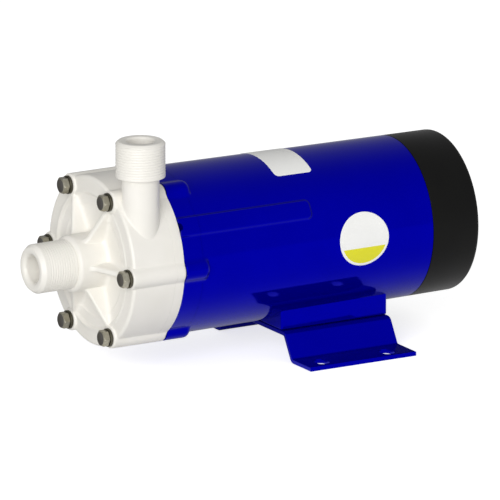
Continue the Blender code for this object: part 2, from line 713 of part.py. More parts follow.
def drive_cup():
    """Steel yoke that carries the drive magnets on the motor shaft."""
    hub = SHAFT_RADIUS + YOKE_HUB_WALL
    bore = SHAFT_RADIUS + FIT
    lip = X_MAGNET_REAR + FIT
    outline = [(X_MAGNET, YOKE_RADIUS), (X_YOKE_FLOOR + YOKE_WALL - 0.0015, YOKE_RADIUS),
               (X_YOKE_FLOOR + YOKE_WALL, YOKE_RADIUS - 0.0015),
               (X_YOKE_FLOOR + YOKE_WALL, hub), (X_YOKE_HUB_REAR, hub), (X_YOKE_HUB_REAR, bore),
               (X_YOKE_FLOOR, bore), (X_YOKE_FLOOR, DRIVE_MAGNET_RADIUS - 0.0014),
               (lip, DRIVE_MAGNET_RADIUS - 0.0014), (lip, DRIVE_MAGNET_RADIUS + FIT),
               (X_MAGNET, DRIVE_MAGNET_RADIUS + FIT)]
    cup = turned("drive_cup", outline, STEEL, MEDIUM)
    hole = X_YOKE_HUB_REAR - 0.0030
    turn = Matrix.Translation((hole, 0.0, SHAFT_HEIGHT))
    cut(cup, bar("set_screw_hole", 0.0020, 0.0, hub + 0.0010, facets=COARSE, place=turn))
    bar("cup_set_screw", 0.0020 - FIT, SHAFT_RADIUS + FIT, hub - 0.0004, material=SCREW_STEEL,
        facets=12, place=turn)
    return cup


def motor_shaft():
    """Stepped steel shaft from the drive cup to the fan."""
    shoulder = SHAFT_RADIUS + 0.0020
    front = X_FRONT_BEARING + BEARING_WIDTH + FIT
    rear = X_REAR_BEARING - FIT
    nose = X_YOKE_FLOOR + 0.0004
    tail = X_FAN + FAN_HUB_LENGTH
    outline = [(nose, 0.0), (nose, SHAFT_RADIUS - 0.0006), (nose + 0.0006, SHAFT_RADIUS),
               (front, SHAFT_RADIUS), (front, shoulder), (rear, shoulder), (rear, SHAFT_RADIUS),
               (tail - 0.0006, SHAFT_RADIUS), (tail, SHAFT_RADIUS - 0.0006), (tail, 0.0)]
    return turned("motor_shaft", outline, STEEL, MEDIUM)


def rotor_core():
    """Laminated rotor with cast end rings."""
    bore = SHAFT_RADIUS + 0.0020 + FIT
    front = X_STACK - END_RING_LENGTH
    rear = X_STACK_REAR + END_RING_LENGTH
    rim = ROTOR_RADIUS - 0.0015
    inner = ROTOR_RADIUS - END_RING_BUILD
    outline = [(front, rim), (X_STACK, rim + 0.0005), (X_STACK, ROTOR_RADIUS),
               (X_STACK_REAR, ROTOR_RADIUS), (X_STACK_REAR, rim + 0.0005), (rear, rim),
               (rear, inner), (X_STACK_REAR, inner - 0.0008), (X_STACK_REAR, bore),
               (X_STACK, bore), (X_STACK, inner - 0.0008), (front, inner)]
    return turned("rotor_core", outline, LAMINATIONS, MEDIUM)


def bearing(side, start):
    """A sealed ball bearing: outer ring, inner ring and its balls in a cage."""
    end = start + BEARING_WIDTH
    middle = 0.5 * (start + end)
    pitch = 0.5 * (SHAFT_RADIUS + BEARING_RADIUS)
    inner_face = pitch - 0.6 * BALL_RADIUS
    outer_face = pitch + 0.6 * BALL_RADIUS
    groove = BALL_RADIUS + 2.0 * FIT
    half_angle = math.degrees(math.acos((outer_face - pitch) / groove))
    outer_race = round_points((middle, pitch), groove, 90.0 - half_angle,
                              90.0 + half_angle, 3)
    outer = [(start, BEARING_RADIUS), (end, BEARING_RADIUS), (end, outer_face)]
    outer += outer_race + [(start, outer_face)]
    turned(side + "_bearing_outer", outer, STEEL, MEDIUM)
    inner_race = round_points((middle, pitch), groove, 270.0 - half_angle,
                              270.0 + half_angle, 3)
    inner = [(start, SHAFT_RADIUS + FIT), (start, inner_face)]
    inner += inner_race + [(end, inner_face), (end, SHAFT_RADIUS + FIT)]
    turned(side + "_bearing_inner", inner, STEEL, MEDIUM)
    cage = ring(side + "_bearing_balls", pitch - 0.0006, pitch + 0.0006,
                middle - 0.8 * BALL_RADIUS, middle + 0.8 * BALL_RADIUS, STEEL, COARSE)
    for index in range(BALL_COUNT):
        place = around(pitch, 360.0 * index / BALL_COUNT)
        join(cage, ball("ball", (*place, middle), BALL_RADIUS))


def ball(name, centre, radius):
    """One steel ball, coarse because it is sealed in."""
    mesh = bpy.data.meshes.new(name)
    shape = bmesh.new()
    bmesh.ops.create_icosphere(shape, subdivisions=1, radius=radius,
                               matrix=Matrix.Translation(centre))
    shape.to_mesh(mesh)
    shape.free()
    return add_object(name, mesh, None, SHAFT)


def end_shield(name, plate_start, plate_end, hub_start, hub_end, bore_start, bore_end):
    """Cast disc that holds one motor bearing in its hub."""
    rim = HOUSING_BORE - FIT
    pocket = BEARING_RADIUS + FIT
    hub = BEARING_RADIUS + 0.0030
    throat = SHAFT_RADIUS + 0.0025
    outline = [(plate_start, rim), (plate_end, rim), (plate_end, hub), (hub_end, hub)]
    if bore_end >= hub_end:
        outline += [(hub_end, pocket), (bore_start, pocket), (bore_start, throat),
                    (hub_start, throat)]
    else:
        outline += [(hub_end, throat), (bore_end, throat), (bore_end, pocket),
                    (hub_start, pocket)]
    if hub_start < plate_start:
        outline += [(hub_start, hub), (plate_start, hub)]
    return turned(name, outline, ALUMINIUM, MEDIUM)


def end_shields():
    """Front and rear bearing carriers inside the housing."""
    start = X_FRONT_BEARING - SHIELD_WALL
    end_shield("front_end_shield", start, X_FRONT_BEARING, start,
               X_FRONT_BEARING + BEARING_WIDTH, X_FRONT_BEARING - FIT,
               X_FRONT_BEARING + BEARING_WIDTH)
    rear = end_shield("rear_end_shield", X_REAR_SHIELD, X_REAR_SHIELD + SHIELD_WALL,
                      X_REAR_BEARING, X_REAR_SHIELD + SHIELD_WALL,
                      X_REAR_BEARING, X_REAR_BEARING + BEARING_WIDTH + FIT)
    for place in cap_screw_places():
        cut(rear, bar("shield_thread", CAP_SCREW_RADIUS + FIT, X_REAR_SHIELD - SPARE,
                      X_HOUSING_REAR, place, facets=COARSE))


def stator_core():
    """Laminated stack with open slots for the winding."""
    core = ring("stator_core", STATOR_BORE, STATOR_RADIUS, X_STACK, X_STACK_REAR, LAMINATIONS,
                MEDIUM)
    half = 0.5 * SLOT_WIDTH
    low = STATOR_BORE + 0.0016
    for index in range(SLOT_COUNT):
        turn = Matrix.Rotation(2.0 * math.pi * (index + 0.5) / SLOT_COUNT, 4, "Z")
        cut(core, block("slot", (-half, low, X_STACK - 0.0010),
                        (half, low + SLOT_DEPTH, X_STACK_REAR + 0.0010), place=SHAFT @ turn))
    return core


def stator_winding():
    """Copper coils: two end rings and the bundles that lie in the slots."""
    low = STATOR_BORE + 0.0016 + FIT
    high = low + SLOT_DEPTH - 2.0 * FIT
    section = [(0.0, low), (0.0030 - WINDING_OVERHANG, low),
               (-WINDING_OVERHANG, 0.5 * (low + high)), (0.0030 - WINDING_OVERHANG, high),
               (0.0, high)]
    front = [(X_STACK - FIT + along, radius) for along, radius in section]
    rear = [(X_STACK_REAR + FIT - along, radius) for along, radius in section]
    winding = turned("stator_winding", front, COPPER, MEDIUM)
    half = 0.5 * SLOT_WIDTH - FIT
    for index in range(SLOT_COUNT):
        turn = Matrix.Rotation(2.0 * math.pi * (index + 0.5) / SLOT_COUNT, 4, "Z")
        join(winding, block("coil_side", (-half, low + 0.0004, X_STACK - 0.0010),
                            (half, high - 0.0004, X_STACK_REAR + 0.0010), place=SHAFT @ turn))
    join(winding, turned("rear_coil_ends", rear, None, MEDIUM))
    return winding


def long_rib(degrees):
    """Raised rounded bar along the housing, concentric with its surface."""
    half = 0.5 * LONG_RIB_WIDTH
    start = X_HOUSING - 1.5 * SPARE
    end = X_HOUSING + LONG_RIB_LENGTH
    corner = LONG_RIB_CORNER
    outline = [(start, -half)]
    outline += round_points((end - corner, -half + corner), corner, 270.0, 360.0, 5)
    outline += round_points((end - corner, half - corner), corner, 0.0, 90.0, 5)
    outline += [(start, half)]
    # Local Z of this plate is the radial way out, local X runs along the shaft
    out = Matrix.Rotation(math.radians(90.0 - degrees), 4, "X")
    place = Matrix.Translation((0.0, 0.0, SHAFT_HEIGHT)) @ out
    pad = plate("long_rib", outline, HOUSING_RADIUS - 0.0060, HOUSING_RADIUS + 0.0060, place=place)
    skin = [(start - SPARE, 0.0), (start - SPARE, housing_radius(start) + LONG_RIB_HEIGHT),
            (end + 0.0050, housing_radius(end + 0.0050) + LONG_RIB_HEIGHT), (end + 0.0050, 0.0)]
    combine(pad, turned("rib_skin", skin, None, 2 * FINE), "INTERSECT")
    return pad


def housing_boss(degrees):
    """Short boss behind a cover screw, with a rounded end."""
    end = X_HOUSING + HOUSING_BOSS_LENGTH
    outline = [(X_HOUSING - SPARE, 0.0), (X_HOUSING - SPARE, BOSS_RADIUS)]
    outline += [(end - HOUSING_BOSS_ROUND + HOUSING_BOSS_ROUND * math.sin(math.radians(angle)),
                 BOSS_RADIUS - HOUSING_BOSS_ROUND + HOUSING_BOSS_ROUND * math.cos(math.radians(angle)))
                for angle in (0.0, 45.0, 90.0)]
    outline += [(end, 0.0)]
    return turned("housing_boss", outline, None, 16, bolt_place(degrees))


def foot_screw_places():
    """Where the four screws go up through the bracket's crown, as (x, y)."""
    inset = 0.0120
    side = PEDESTAL_HALF_WIDTH - 0.0110
    front = X_PEDESTAL + inset
    rear = X_PEDESTAL + PEDESTAL_LENGTH - inset
    return [(front, -side), (front, side), (rear, -side), (rear, side)]


def motor_housing():
    """Cast cylinder with bosses, long ribs and the pedestal for the foot."""
    front, rear = X_HOUSING, X_HOUSING_REAR
    early = front - 2.0 * SPARE
    solid = [(early, 0.0), (early, housing_radius(early)), (rear, housing_radius(rear)),
             (rear, 0.0)]
    housing = turned("motor_housing", solid, BLUE_PAINT)
    for degrees in bolt_angles():
        join(housing, housing_boss(degrees))
    for degrees in LONG_RIB_ANGLES:
        join(housing, long_rib(degrees))
    start = X_PEDESTAL
    join(housing, block("pedestal", (start, -PEDESTAL_HALF_WIDTH, SHAFT_HEIGHT - PEDESTAL_DROP),
                        (start + PEDESTAL_LENGTH, PEDESTAL_HALF_WIDTH,
                         SHAFT_HEIGHT - 0.5 * HOUSING_RADIUS)))
    trim(housing, front - 5.0 * SPARE, front)
    bore = HOUSING_BORE
    inside = [(front - 0.0010, 0.0), (front - 0.0010, bore), (rear + 0.0010, bore),
              (rear + 0.0010, 0.0)]
    cut(housing, turned("housing_bore", inside, None))
    for degrees in bolt_angles():
        cut(housing, bar("tapped_hole", SCREW_HOLE, front - SPARE,
                         front + SCREW_BITE + 0.0020, facets=COARSE,
                         place=bolt_place(degrees)))
    mouth = LONG_RIB_ANGLES[0]
    cut(housing, bar("rib_mouth", RIB_MOUTH_RADIUS, front - 0.0010, front + RIB_MOUTH_DEPTH,
                     around(HOUSING_RADIUS + 0.0004, mouth), facets=COARSE))
    for x, y in foot_screw_places():
        place = Matrix.Translation((x, y, SHAFT_HEIGHT - PEDESTAL_DROP))
        cut(housing, bar("foot_thread", 0.0017 + FIT, -0.0010, 0.0045, facets=12, place=place))
    return housing


def cover_screws():
    """Six hex screws and their washers round the head."""
    washer_rear = X_SEAT - FIT
    washer_front = washer_rear - WASHER_THICKNESS
    head_rear = washer_front - FIT
    head_front = head_rear - HEX_HEIGHT
    corner = HEX_ACROSS_FLATS / math.sqrt(3.0)
    for index, degrees in enumerate(bolt_angles(), start=1):
        centre = around(BOLT_CIRCLE, degrees)
        place = SHAFT @ Matrix.Translation((*centre, 0.0))
        washer = [(washer_front, WASHER_RADIUS), (washer_rear, WASHER_RADIUS),
                  (washer_rear, SCREW_HOLE), (washer_front, SCREW_HOLE)]
        turned("cover_washer_%d" % index, washer, SCREW_STEEL, COARSE, place)
        head = bar("hex_head", corner, head_front, head_rear, centre, facets=6)
        shank = bar("cover_screw_%d" % index, SHANK_RADIUS, head_front + 0.0005,
                    X_HOUSING + SCREW_BITE, centre, SCREW_STEEL, 12)
        join(shank, head)


def rear_cap():
    """Black cover over the fan, with a locating lip and vents in its rear face."""
    outer_front = housing_radius(X_CAP)
    outer_rear = housing_radius(X_REAR)
    lip = HOUSING_BORE - FIT
    bore = outer_rear - CAP_WALL
    outline = [(X_CAP, outer_front)]
    outline += [(X_REAR - CAP_ROUND + CAP_ROUND * math.sin(math.radians(angle)),
                 outer_rear - CAP_ROUND + CAP_ROUND * math.cos(math.radians(angle)))
                for angle in (0.0, 30.0, 60.0, 90.0)]
    outline += [(X_REAR, 0.0), (X_REAR - CAP_WALL, 0.0), (X_REAR - CAP_WALL, bore),
                (X_CAP + CAP_WALL, bore), (X_CAP + CAP_WALL, lip - CAP_WALL),
                (X_CAP - CAP_LIP, lip - CAP_WALL), (X_CAP - CAP_LIP, lip), (X_CAP, lip)]
    cap = turned("rear_cap", outline, BLACK_PLASTIC)
    for place in cap_screw_places():
        join(cap, bar("screw_post", CAP_POST_RADIUS, X_CAP - CAP_LIP + 0.0002,
                      X_REAR - 0.5 * CAP_WALL, place, facets=COARSE))
    low = 0.0070
    high = FAN_RADIUS - 0.0060
    for index in range(-(VENT_COUNT // 2), VENT_COUNT // 2 + 1):
        offset = index * 2.4 * VENT_WIDTH
        reach = math.sqrt(max(high * high - offset * offset, low * low))
        cut(cap, block("vent", (X_REAR - CAP_WALL - 0.0010, offset - 0.5 * VENT_WIDTH,
                                SHAFT_HEIGHT - reach),
                       (X_REAR + 0.0010, offset + 0.5 * VENT_WIDTH, SHAFT_HEIGHT + reach)))
    for place in cap_screw_places():
        cut(cap, bar("cap_screw_hole", CAP_SCREW_RADIUS + FIT, X_CAP - CAP_LIP - SPARE,
                     X_REAR - 0.5 * CAP_SCREW_SINK, place, facets=COARSE))
        cut(cap, bar("cap_screw_sink", CAP_SCREW_HEAD + FIT, X_REAR - CAP_SCREW_SINK,
                     X_REAR + SPARE, place, facets=COARSE))
    cut(cap, bar("gland_hole", GLAND_RADIUS + FIT, bore - 0.0030, outer_front + 0.0020,
                 facets=COARSE, place=gland_place()))
    return cap


def cap_screw_places():
    """Where the three screws go through the cap's rear face."""
    return [around(CAP_SCREW_CIRCLE, degrees) for degrees in (90.0, 210.0, 330.0)]


def gland_place():
    """Frame of the cable gland: local +Z points out of the cap's far side."""
    turn = Matrix.Rotation(-math.pi / 2, 4, "X")
    x = X_CAP + 0.5 * CAP_LENGTH - 0.0010
    return Matrix.Translation((x, 0.0, SHAFT_HEIGHT)) @ turn


def cap_screws():
    """Three long screws that hold the cap to the rear end shield."""
    for index, centre in enumerate(cap_screw_places(), start=1):
        seat = X_REAR - CAP_SCREW_SINK + FIT
        head = bar("cap_screw_head", CAP_SCREW_HEAD, seat, seat + 0.0018, centre,
                   facets=COARSE)
        shank = bar("cap_screw_%d" % index, CAP_SCREW_RADIUS, X_REAR_SHIELD + 0.0010,
                    seat + 0.0010, centre, SCREW_STEEL, 8)
        join(shank, head)


def cable_gland():
    """Gland body through the cap wall, its dome nut and the rubber seal."""
    place = gland_place()
    wall = housing_radius(X_CAP + 0.5 * CAP_LENGTH)
    inner = housing_radius(X_REAR) - CAP_WALL - 0.0010
    outer = wall + 0.0006
    seat = outer + GLAND_COLLAR_DEPTH
    thread_end = seat + GLAND_THREAD
    seal_end = seat + SEAL_DEPTH
    thread = GLAND_RADIUS - 0.0006
    lip = CORD_HOLE + 0.0012
    body = [(inner, GLAND_RADIUS), (outer, GLAND_RADIUS), (outer, GLAND_RADIUS + GLAND_COLLAR),
            (seat, GLAND_RADIUS + GLAND_COLLAR), (seat, thread), (thread_end, thread),
            (thread_end, lip), (seat, lip), (seat, CORD_HOLE), (inner, CORD_HOLE)]
    turned("cable_gland", body, BLACK_PLASTIC, COARSE, place)
    seal = [(seat + FIT, lip - FIT), (seal_end, lip - FIT), (seal_end, CORD_HOLE - 0.0006),
            (seat + FIT, CORD_HOLE - 0.0006)]
    turned("gland_seal", seal, RUBBER, COARSE, place)
    top = wall + GLAND_REACH
    nut = [(seat + FIT, thread + FIT), (seat + FIT, GLAND_RADIUS + 0.0018),
           (top - 0.0040, GLAND_RADIUS + 0.0018), (top - 0.0010, GLAND_RADIUS - 0.0008),
           (top, GLAND_RADIUS - 0.0020), (top, CORD_HOLE), (seal_end + FIT, CORD_HOLE),
           (seal_end + FIT, thread + FIT)]
    turned("gland_nut", nut, BLACK_PLASTIC, COARSE, place)


def terminal_block():
    """Small insulating block where the cord meets the winding."""
    half = 0.0080
    start = X_REAR_SHIELD + SHIELD_WALL + FIT
    outer = FAN_RADIUS + FAN_CLEARANCE
    return block("terminal_block", (start, outer - 0.0100, SHAFT_HEIGHT - half),
                 (start + 0.0070, outer, SHAFT_HEIGHT + half), WHITE_PLASTIC)


def cooling_fan():
    """Radial fan on the rear end of the motor shaft."""
    bore = SHAFT_RADIUS + FIT
    face = X_FAN - 0.0005
    hub = [(face, bore + 0.0035), (X_FAN + FAN_HUB_LENGTH, bore + 0.0035),
           (X_FAN + FAN_HUB_LENGTH, bore), (face, bore)]
    fan = turned("cooling_fan", hub, BLACK_PLASTIC, MEDIUM)
    disc = [(X_FAN, FAN_RADIUS), (X_FAN + 0.0015, FAN_RADIUS), (X_FAN + 0.0015, bore + 0.0020),
            (X_FAN, bore + 0.0020)]
    join(fan, turned("fan_disc", disc, None, MEDIUM))
    for index in range(FAN_BLADES):
        turn = Matrix.Rotation(2.0 * math.pi * (index + 0.13) / FAN_BLADES, 4, "Z")
        blade = block("fan_blade", (-0.0006, bore + 0.0025, X_FAN + 0.0008),
                      (0.0006, FAN_RADIUS - 0.0010, X_FAN + FAN_DEPTH), place=SHAFT @ turn)
        combine(fan, blade, "UNION", "MANIFOLD")
    return fan


def bracket_line():
    """Middle line of half the bent sheet, as (y, z) from the crown to the flange."""
    crown = BRACKET_HEIGHT - 0.5 * SHEET
    flange = 0.5 * SHEET
    top = CROWN_HALF_WIDTH
    foot = CROWN_HALF_WIDTH + LEG_SPREAD
    lean = math.degrees(math.atan2(crown - flange, LEG_SPREAD))
    pull = BEND_RADIUS * math.tan(math.radians(0.5 * lean))
    line = [(0.0, crown)]
    line += round_points((top - pull, crown - BEND_RADIUS), BEND_RADIUS, 90.0, 90.0 - lean, 4)
    line += round_points((foot + pull, flange + BEND_RADIUS), BEND_RADIUS, 270.0 - lean, 270.0, 4)
    line += [(BRACKET_HALF_WIDTH, flange)]
    return line


def offset_line(line, distance):
    """A line moved sideways by a set distance, mitred at its corners."""
    moved = []
    for index, (x, y) in enumerate(line):
        before = line[max(index - 1, 0)]
        after = line[min(index + 1, len(line) - 1)]
        first = Vector((x - before[0], y - before[1]))
        second = Vector((after[0] - x, after[1] - y))
        first = (first if first.length > 0.0 else second).normalized()
        second = (second if second.length > 0.0 else first).normalized()
        normal = (Vector((-first.y, first.x)) + Vector((-second.y, second.x))).normalized()
        reach = distance / max(normal.dot(Vector((-first.y, first.x))), 0.2)
        moved.append((x + normal.x * reach, y + normal.y * reach))
    return moved


def foot_bracket():
    """Bent sheet under the pedestal, with two flanges and four slots across them."""
    half = bracket_line()
    line = [(-y, z) for y, z in reversed(half)] + half[1:]
    outline = offset_line(line, 0.5 * SHEET) + offset_line(line, -0.5 * SHEET)[::-1]
    start = X_PEDESTAL
    # Local X is world Y, local Y is world Z and local Z is world X
    place = Matrix(((0.0, 0.0, 1.0, 0.0), (1.0, 0.0, 0.0, 0.0), (0.0, 1.0, 0.0, 0.0),
                    (0.0, 0.0, 0.0, 1.0)))
    bracket = plate("foot_bracket", outline, start, start + PEDESTAL_LENGTH, BLUE_PAINT, place)
    radius = 0.5 * FOOT_SLOT_WIDTH
    reach = 0.5 * FOOT_SLOT_LENGTH - radius
    slot = (round_points((0.0, reach), radius, 0.0, 180.0, 7)
            + round_points((0.0, -reach), radius, 180.0, 360.0, 7))
    for x in foot_slot_stations():
        for side in (-1.0, 1.0):
            at = Matrix.Translation((x, side * (BRACKET_HALF_WIDTH - FOOT_SLOT_INSET), 0.0))
            cut(bracket, plate("foot_slot", slot, -0.0010, SHEET + 0.0010, place=at))
    for x, y in foot_screw_places():
        at = Matrix.Translation((x, y, BRACKET_HEIGHT))
        cut(bracket, bar("crown_hole", 0.0017 + FIT, -SHEET - 0.0010, 0.0010, place=at,
                         facets=12))
    return bracket


def foot_slot_stations():
    """Places along X of the slots in the flanges."""
    front = X_PEDESTAL + FOOT_SLOT_FRONT
    return (front, X_PEDESTAL + PEDESTAL_LENGTH - FOOT_SLOT_REAR)


def foot_screws():
    """Four screws from under the crown up into the pedestal."""
    for index, (x, y) in enumerate(foot_screw_places(), start=1):
        place = Matrix.Translation((x, y, BRACKET_HEIGHT - SHEET))
        head = bar("foot_screw_head", 0.0035, -FIT - 0.0022, -FIT, facets=COARSE, place=place)
        shank = bar("foot_screw_%d" % index, 0.0017, -0.0020, SHEET + FIT + 0.0035,
                    material=SCREW_STEEL, facets=8, place=place)
        join(shank, head)


def gather(name, members):
    """Parent a turning group to an empty on the shaft axis."""
    axis = bpy.data.objects.new(name, None)
    axis.matrix_world = SHAFT
    PARTS.objects.link(axis)
    bpy.context.view_layer.update()
    for member in members:
        thing = bpy.data.objects[member]
        place = thing.matrix_world.copy()
        thing.parent = axis
        thing.matrix_parent_inverse = axis.matrix_world.inverted()
        thing.matrix_world = place


def build():
    """Make every piece and group the ones that turn."""
    front_casing()
    rear_casing()
    casing_o_ring()
    mouth_ring()
    spindle()
    thrust_rings()
    impeller()
    inner_magnet()
    magnet_cover()
    impeller_bush()
    drive_magnet()
    drive_cup()
    motor_shaft()
    rotor_core()
    bearing("front", X_FRONT_BEARING)
    bearing("rear", X_REAR_BEARING)
    end_shields()
    stator_core()
    stator_winding()
    motor_housing()
    cover_screws()
    rear_cap()
    cap_screws()
    cable_gland()
    terminal_block()
    cooling_fan()
    foot_bracket()
    foot_screws()
    gather("rotor_axis", ["motor_shaft", "rotor_core", "drive_cup", "cup_set_screw",
                          "drive_magnet", "cooling_fan", "front_bearing_inner",
                          "rear_bearing_inner"])
    gather("impeller_axis", ["impeller", "inner_magnet", "magnet_cover", "impeller_bush"])
    for side in ("front", "rear"):
        gather(side + "_ball_axis", [side + "_bearing_balls"])


build()
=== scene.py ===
"""Looks of a magnetic drive pump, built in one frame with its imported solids.

Metres, +Z up, +X along the shaft from the inlet nozzle to the rear cap. Angles round the
shaft start at the -Y side, where the outlet stands, and grow upwards.
"""

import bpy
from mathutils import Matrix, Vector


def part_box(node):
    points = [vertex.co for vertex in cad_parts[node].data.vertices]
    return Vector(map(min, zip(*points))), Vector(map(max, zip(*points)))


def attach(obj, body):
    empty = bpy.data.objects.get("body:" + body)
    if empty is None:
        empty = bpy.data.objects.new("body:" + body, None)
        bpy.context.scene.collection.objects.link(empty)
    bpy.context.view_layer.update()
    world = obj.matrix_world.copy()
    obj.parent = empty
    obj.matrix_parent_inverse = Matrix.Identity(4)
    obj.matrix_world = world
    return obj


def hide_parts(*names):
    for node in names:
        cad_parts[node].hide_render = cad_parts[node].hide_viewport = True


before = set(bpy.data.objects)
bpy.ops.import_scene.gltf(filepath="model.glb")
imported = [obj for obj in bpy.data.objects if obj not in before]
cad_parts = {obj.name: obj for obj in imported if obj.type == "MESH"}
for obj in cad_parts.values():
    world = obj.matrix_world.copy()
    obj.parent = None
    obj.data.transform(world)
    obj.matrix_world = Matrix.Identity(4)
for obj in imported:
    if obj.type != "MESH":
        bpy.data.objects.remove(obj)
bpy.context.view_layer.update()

import logging
import math
from collections.abc import Iterable
from dataclasses import dataclass, field
from enum import Enum

import bmesh
import bpy
import numpy as np
from mathutils import Vector

Array = np.ndarray
Tree = bpy.types.NodeTree
Node = bpy.types.Node
Socket = bpy.types.NodeSocket
Thing = bpy.types.Object

LOG = logging.getLogger("pump")
MM = 0.001
TURN = 2.0 * math.pi

# The cover screws: their angles in degrees, their circle, the radius of their bosses and,
# in millimetres, of their holes
BOLT_ANGLES = tuple(60.0 * index for index in range(6))
BOLT_CIRCLE = 42.4 * MM
BOSS_RADIUS = 6.0 * MM
BOLT_HOLE = 2.7

# Chamfer on both sides of the joint between the casings
JOINT_CHAMFER = 0.06 * MM

# Angles of the rear cap's three screws, and of the arms that hold the spindle, in degrees
THREE_ANGLES = (90.0, 210.0, 330.0)


# Colours and shader nodes

def linear(text: str) -> tuple[float, float, float, float]:
    """Turn an sRGB hex colour to the linear values that shaders read.

    Args:
        text: six hex digits, with or without a leading hash.

    Returns:
        Linear red, green, blue and an alpha of one.
    """
    digits = text.lstrip("#")
    parts = np.array([int(digits[at:at + 2], 16) for at in (0, 2, 4)]) / 255.0
    low = parts / 12.92
    high = ((parts + 0.055) / 1.055) ** 2.4
    return (*np.where(parts <= 0.04045, low, high).tolist(), 1.0)


def add_node(tree: Tree, kind: str, inputs: dict | None = None, **settings: object) -> Node:
    """Add one node with its settings, its values and its links.

    Args:
        tree: the node tree that takes the node.
        kind: the type name of the node.
        inputs: by name or number, a value, an output, or another node for its first output.
        settings: the node's own properties.

    Returns:
        The new node.
    """
    node = tree.nodes.new(kind)
    for name, value in settings.items():
        setattr(node, name, value)
    for name, value in (inputs or {}).items():
        source = value.outputs[0] if isinstance(value, Node) else value
        if isinstance(source, Socket):
            tree.links.new(source, node.inputs[name])
        else:
            node.inputs[name].default_value = source
    return node


class Grain(Enum):
    """How a surface was made, which sets its finest pattern."""

    MOULDED = "moulded plastic"
    SPRAYED = "sprayed enamel"
    TURNED = "turned on a lathe"
    FORGED = "cold forged"
    STACKED = "stacked sheets"
    WOUND = "wound wire"
    PRESSED = "cast or pressed powder"
    FILM = "printed film"


# How fine the grain runs along x, y and z, where it isn't the same all ways
STRETCH = {Grain.TURNED: (1.0, 0.03, 0.03), Grain.STACKED: (1.0, 0.02, 0.02),
           Grain.WOUND: (0.12, 1.0, 1.0)}


@dataclass(frozen=True)
class Finish:
    """One surface finish of the pump.

    The colour drifts to the mottle in slow, faint patches. The roughness goes up and down
    with the grain by the swing. The specular is the strength of the mirror layer over what
    isn't metal, and painted_shade_end_colour is painted shade on the faces that look along the
    shaft.
    """

    name: str
    slot: str
    grain: Grain
    colour: str
    mottle: str
    roughness: float
    swing: float = 0.05
    metallic: float = 0.0
    ior: float | None = None
    grain_mm: float = 0.6
    relief_mm: float = 0.01
    patch_mm: float = 22.0
    specular: float = 0.5
    painted_shade_end_colour: str | None = None

    def grain_height(self, tree: Tree, place: Socket) -> Node:
        """Add the nodes of the finest pattern.

        Args:
            tree: the material's nodes.
            place: object coordinates in metres.

        Returns:
            The node that gives the pattern's height, from 0 to 1.
        """
        fine = 1.0 / (self.grain_mm * MM)
        stretch = [fine * part for part in STRETCH.get(self.grain, (1.0, 1.0, 1.0))]
        scaled = add_node(tree, "ShaderNodeMapping", {"Vector": place, "Scale": stretch})
        detail = 1.0 if self.grain is Grain.SPRAYED else 3.0
        return add_node(tree, "ShaderNodeTexNoise",
                        {"Vector": scaled, "Scale": 1.0, "Detail": detail})

    def paint_end_shade(self, tree: Tree, tint: Socket) -> Socket:
        """Add the nodes that paint shade, in the darker end colour, where a face looks along the
        shaft.

        Args:
            tree: the material's nodes.
            tint: colour of the other faces.

        Returns:
            The mixed colour.
        """
        facing = add_node(tree, "ShaderNodeTexCoord").outputs["Normal"]
        parts = add_node(tree, "ShaderNodeSeparateXYZ", {0: facing})
        along = add_node(tree, "ShaderNodeMath", {0: parts.outputs["X"]}, operation="ABSOLUTE")
        share = add_node(tree, "ShaderNodeMapRange",
                         {"Value": along, "From Min": 0.88, "From Max": 0.98})
        return add_node(tree, "ShaderNodeMix", {0: share, 6: tint, 7: linear(self.painted_shade_end_colour)},
                        data_type="RGBA").outputs[2]

    def material(self) -> bpy.types.Material:
        """Build the finish as shader nodes, once, and hand out the same one after that.

        Returns:
            The material.
        """
        known = bpy.data.materials.get(self.name)
        if known is not None:
            return known
        made = bpy.data.materials.new(self.name)
        made.use_nodes = True
        tree = made.node_tree
        shader = tree.nodes["Principled BSDF"]
        place = add_node(tree, "ShaderNodeTexCoord").outputs["Object"]
        patch = add_node(tree, "ShaderNodeTexNoise",
                         {"Vector": place, "Scale": 1.0 / (self.patch_mm * MM), "Detail": 3.0})
        share = add_node(tree, "ShaderNodeMapRange",
                         {"Value": patch, "From Min": 0.35, "From Max": 0.65})
        tint = add_node(tree, "ShaderNodeMix", {0: share, 6: linear(self.colour),
                                                7: linear(self.mottle)},
                        data_type="RGBA").outputs[2]
        # painted shade: faces that look along the shaft take the darker end colour
        if self.painted_shade_end_colour is not None:
            tint = self.paint_end_shade(tree, tint)
        height = self.grain_height(tree, place)
        rough = add_node(tree, "ShaderNodeMapRange",
                         {"Value": height, "From Min": 0.3, "From Max": 0.7,
                          "To Min": self.roughness - self.swing,
                          "To Max": self.roughness + self.swing})
        bump = add_node(tree, "ShaderNodeBump",
                        {"Height": height, "Strength": 1.0, "Distance": self.relief_mm * MM})
        tree.links.new(tint, shader.inputs["Base Color"])
        tree.links.new(rough.outputs["Result"], shader.inputs["Roughness"])
        tree.links.new(bump.outputs["Normal"], shader.inputs["Normal"])
        shader.inputs["Metallic"].default_value = self.metallic
        shader.inputs["Specular IOR Level"].default_value = self.specular
        if self.ior is not None:
            shader.inputs["IOR"].default_value = self.ior
        made.diffuse_color = linear(self.colour)
        return made


# Natural polypropylene from a fine-textured mould: an even, slightly warm white with a soft sheen
WHITE = Finish("moulded polypropylene", "white_plastic", Grain.MOULDED, "#F1EEE7", "#EDEAE2",
               0.42, ior=1.49, grain_mm=0.7, relief_mm=0.006)
# Blue metallic enamel: it mirrors its surroundings in its own deep blue, and pales at the rims
BLUE = Finish("blue metallic enamel", "blue_paint", Grain.SPRAYED, "#0000A0", "#00009D",
              0.075, 0.02, metallic=0.54, grain_mm=2.4, relief_mm=0.0006, specular=0.01)
# Glass-filled nylon: near black, with a soft gloss
BLACK = Finish("moulded black nylon", "black_plastic", Grain.MOULDED, "#0C0C0B", "#090909",
               0.34, ior=1.19, grain_mm=0.5, relief_mm=0.004)
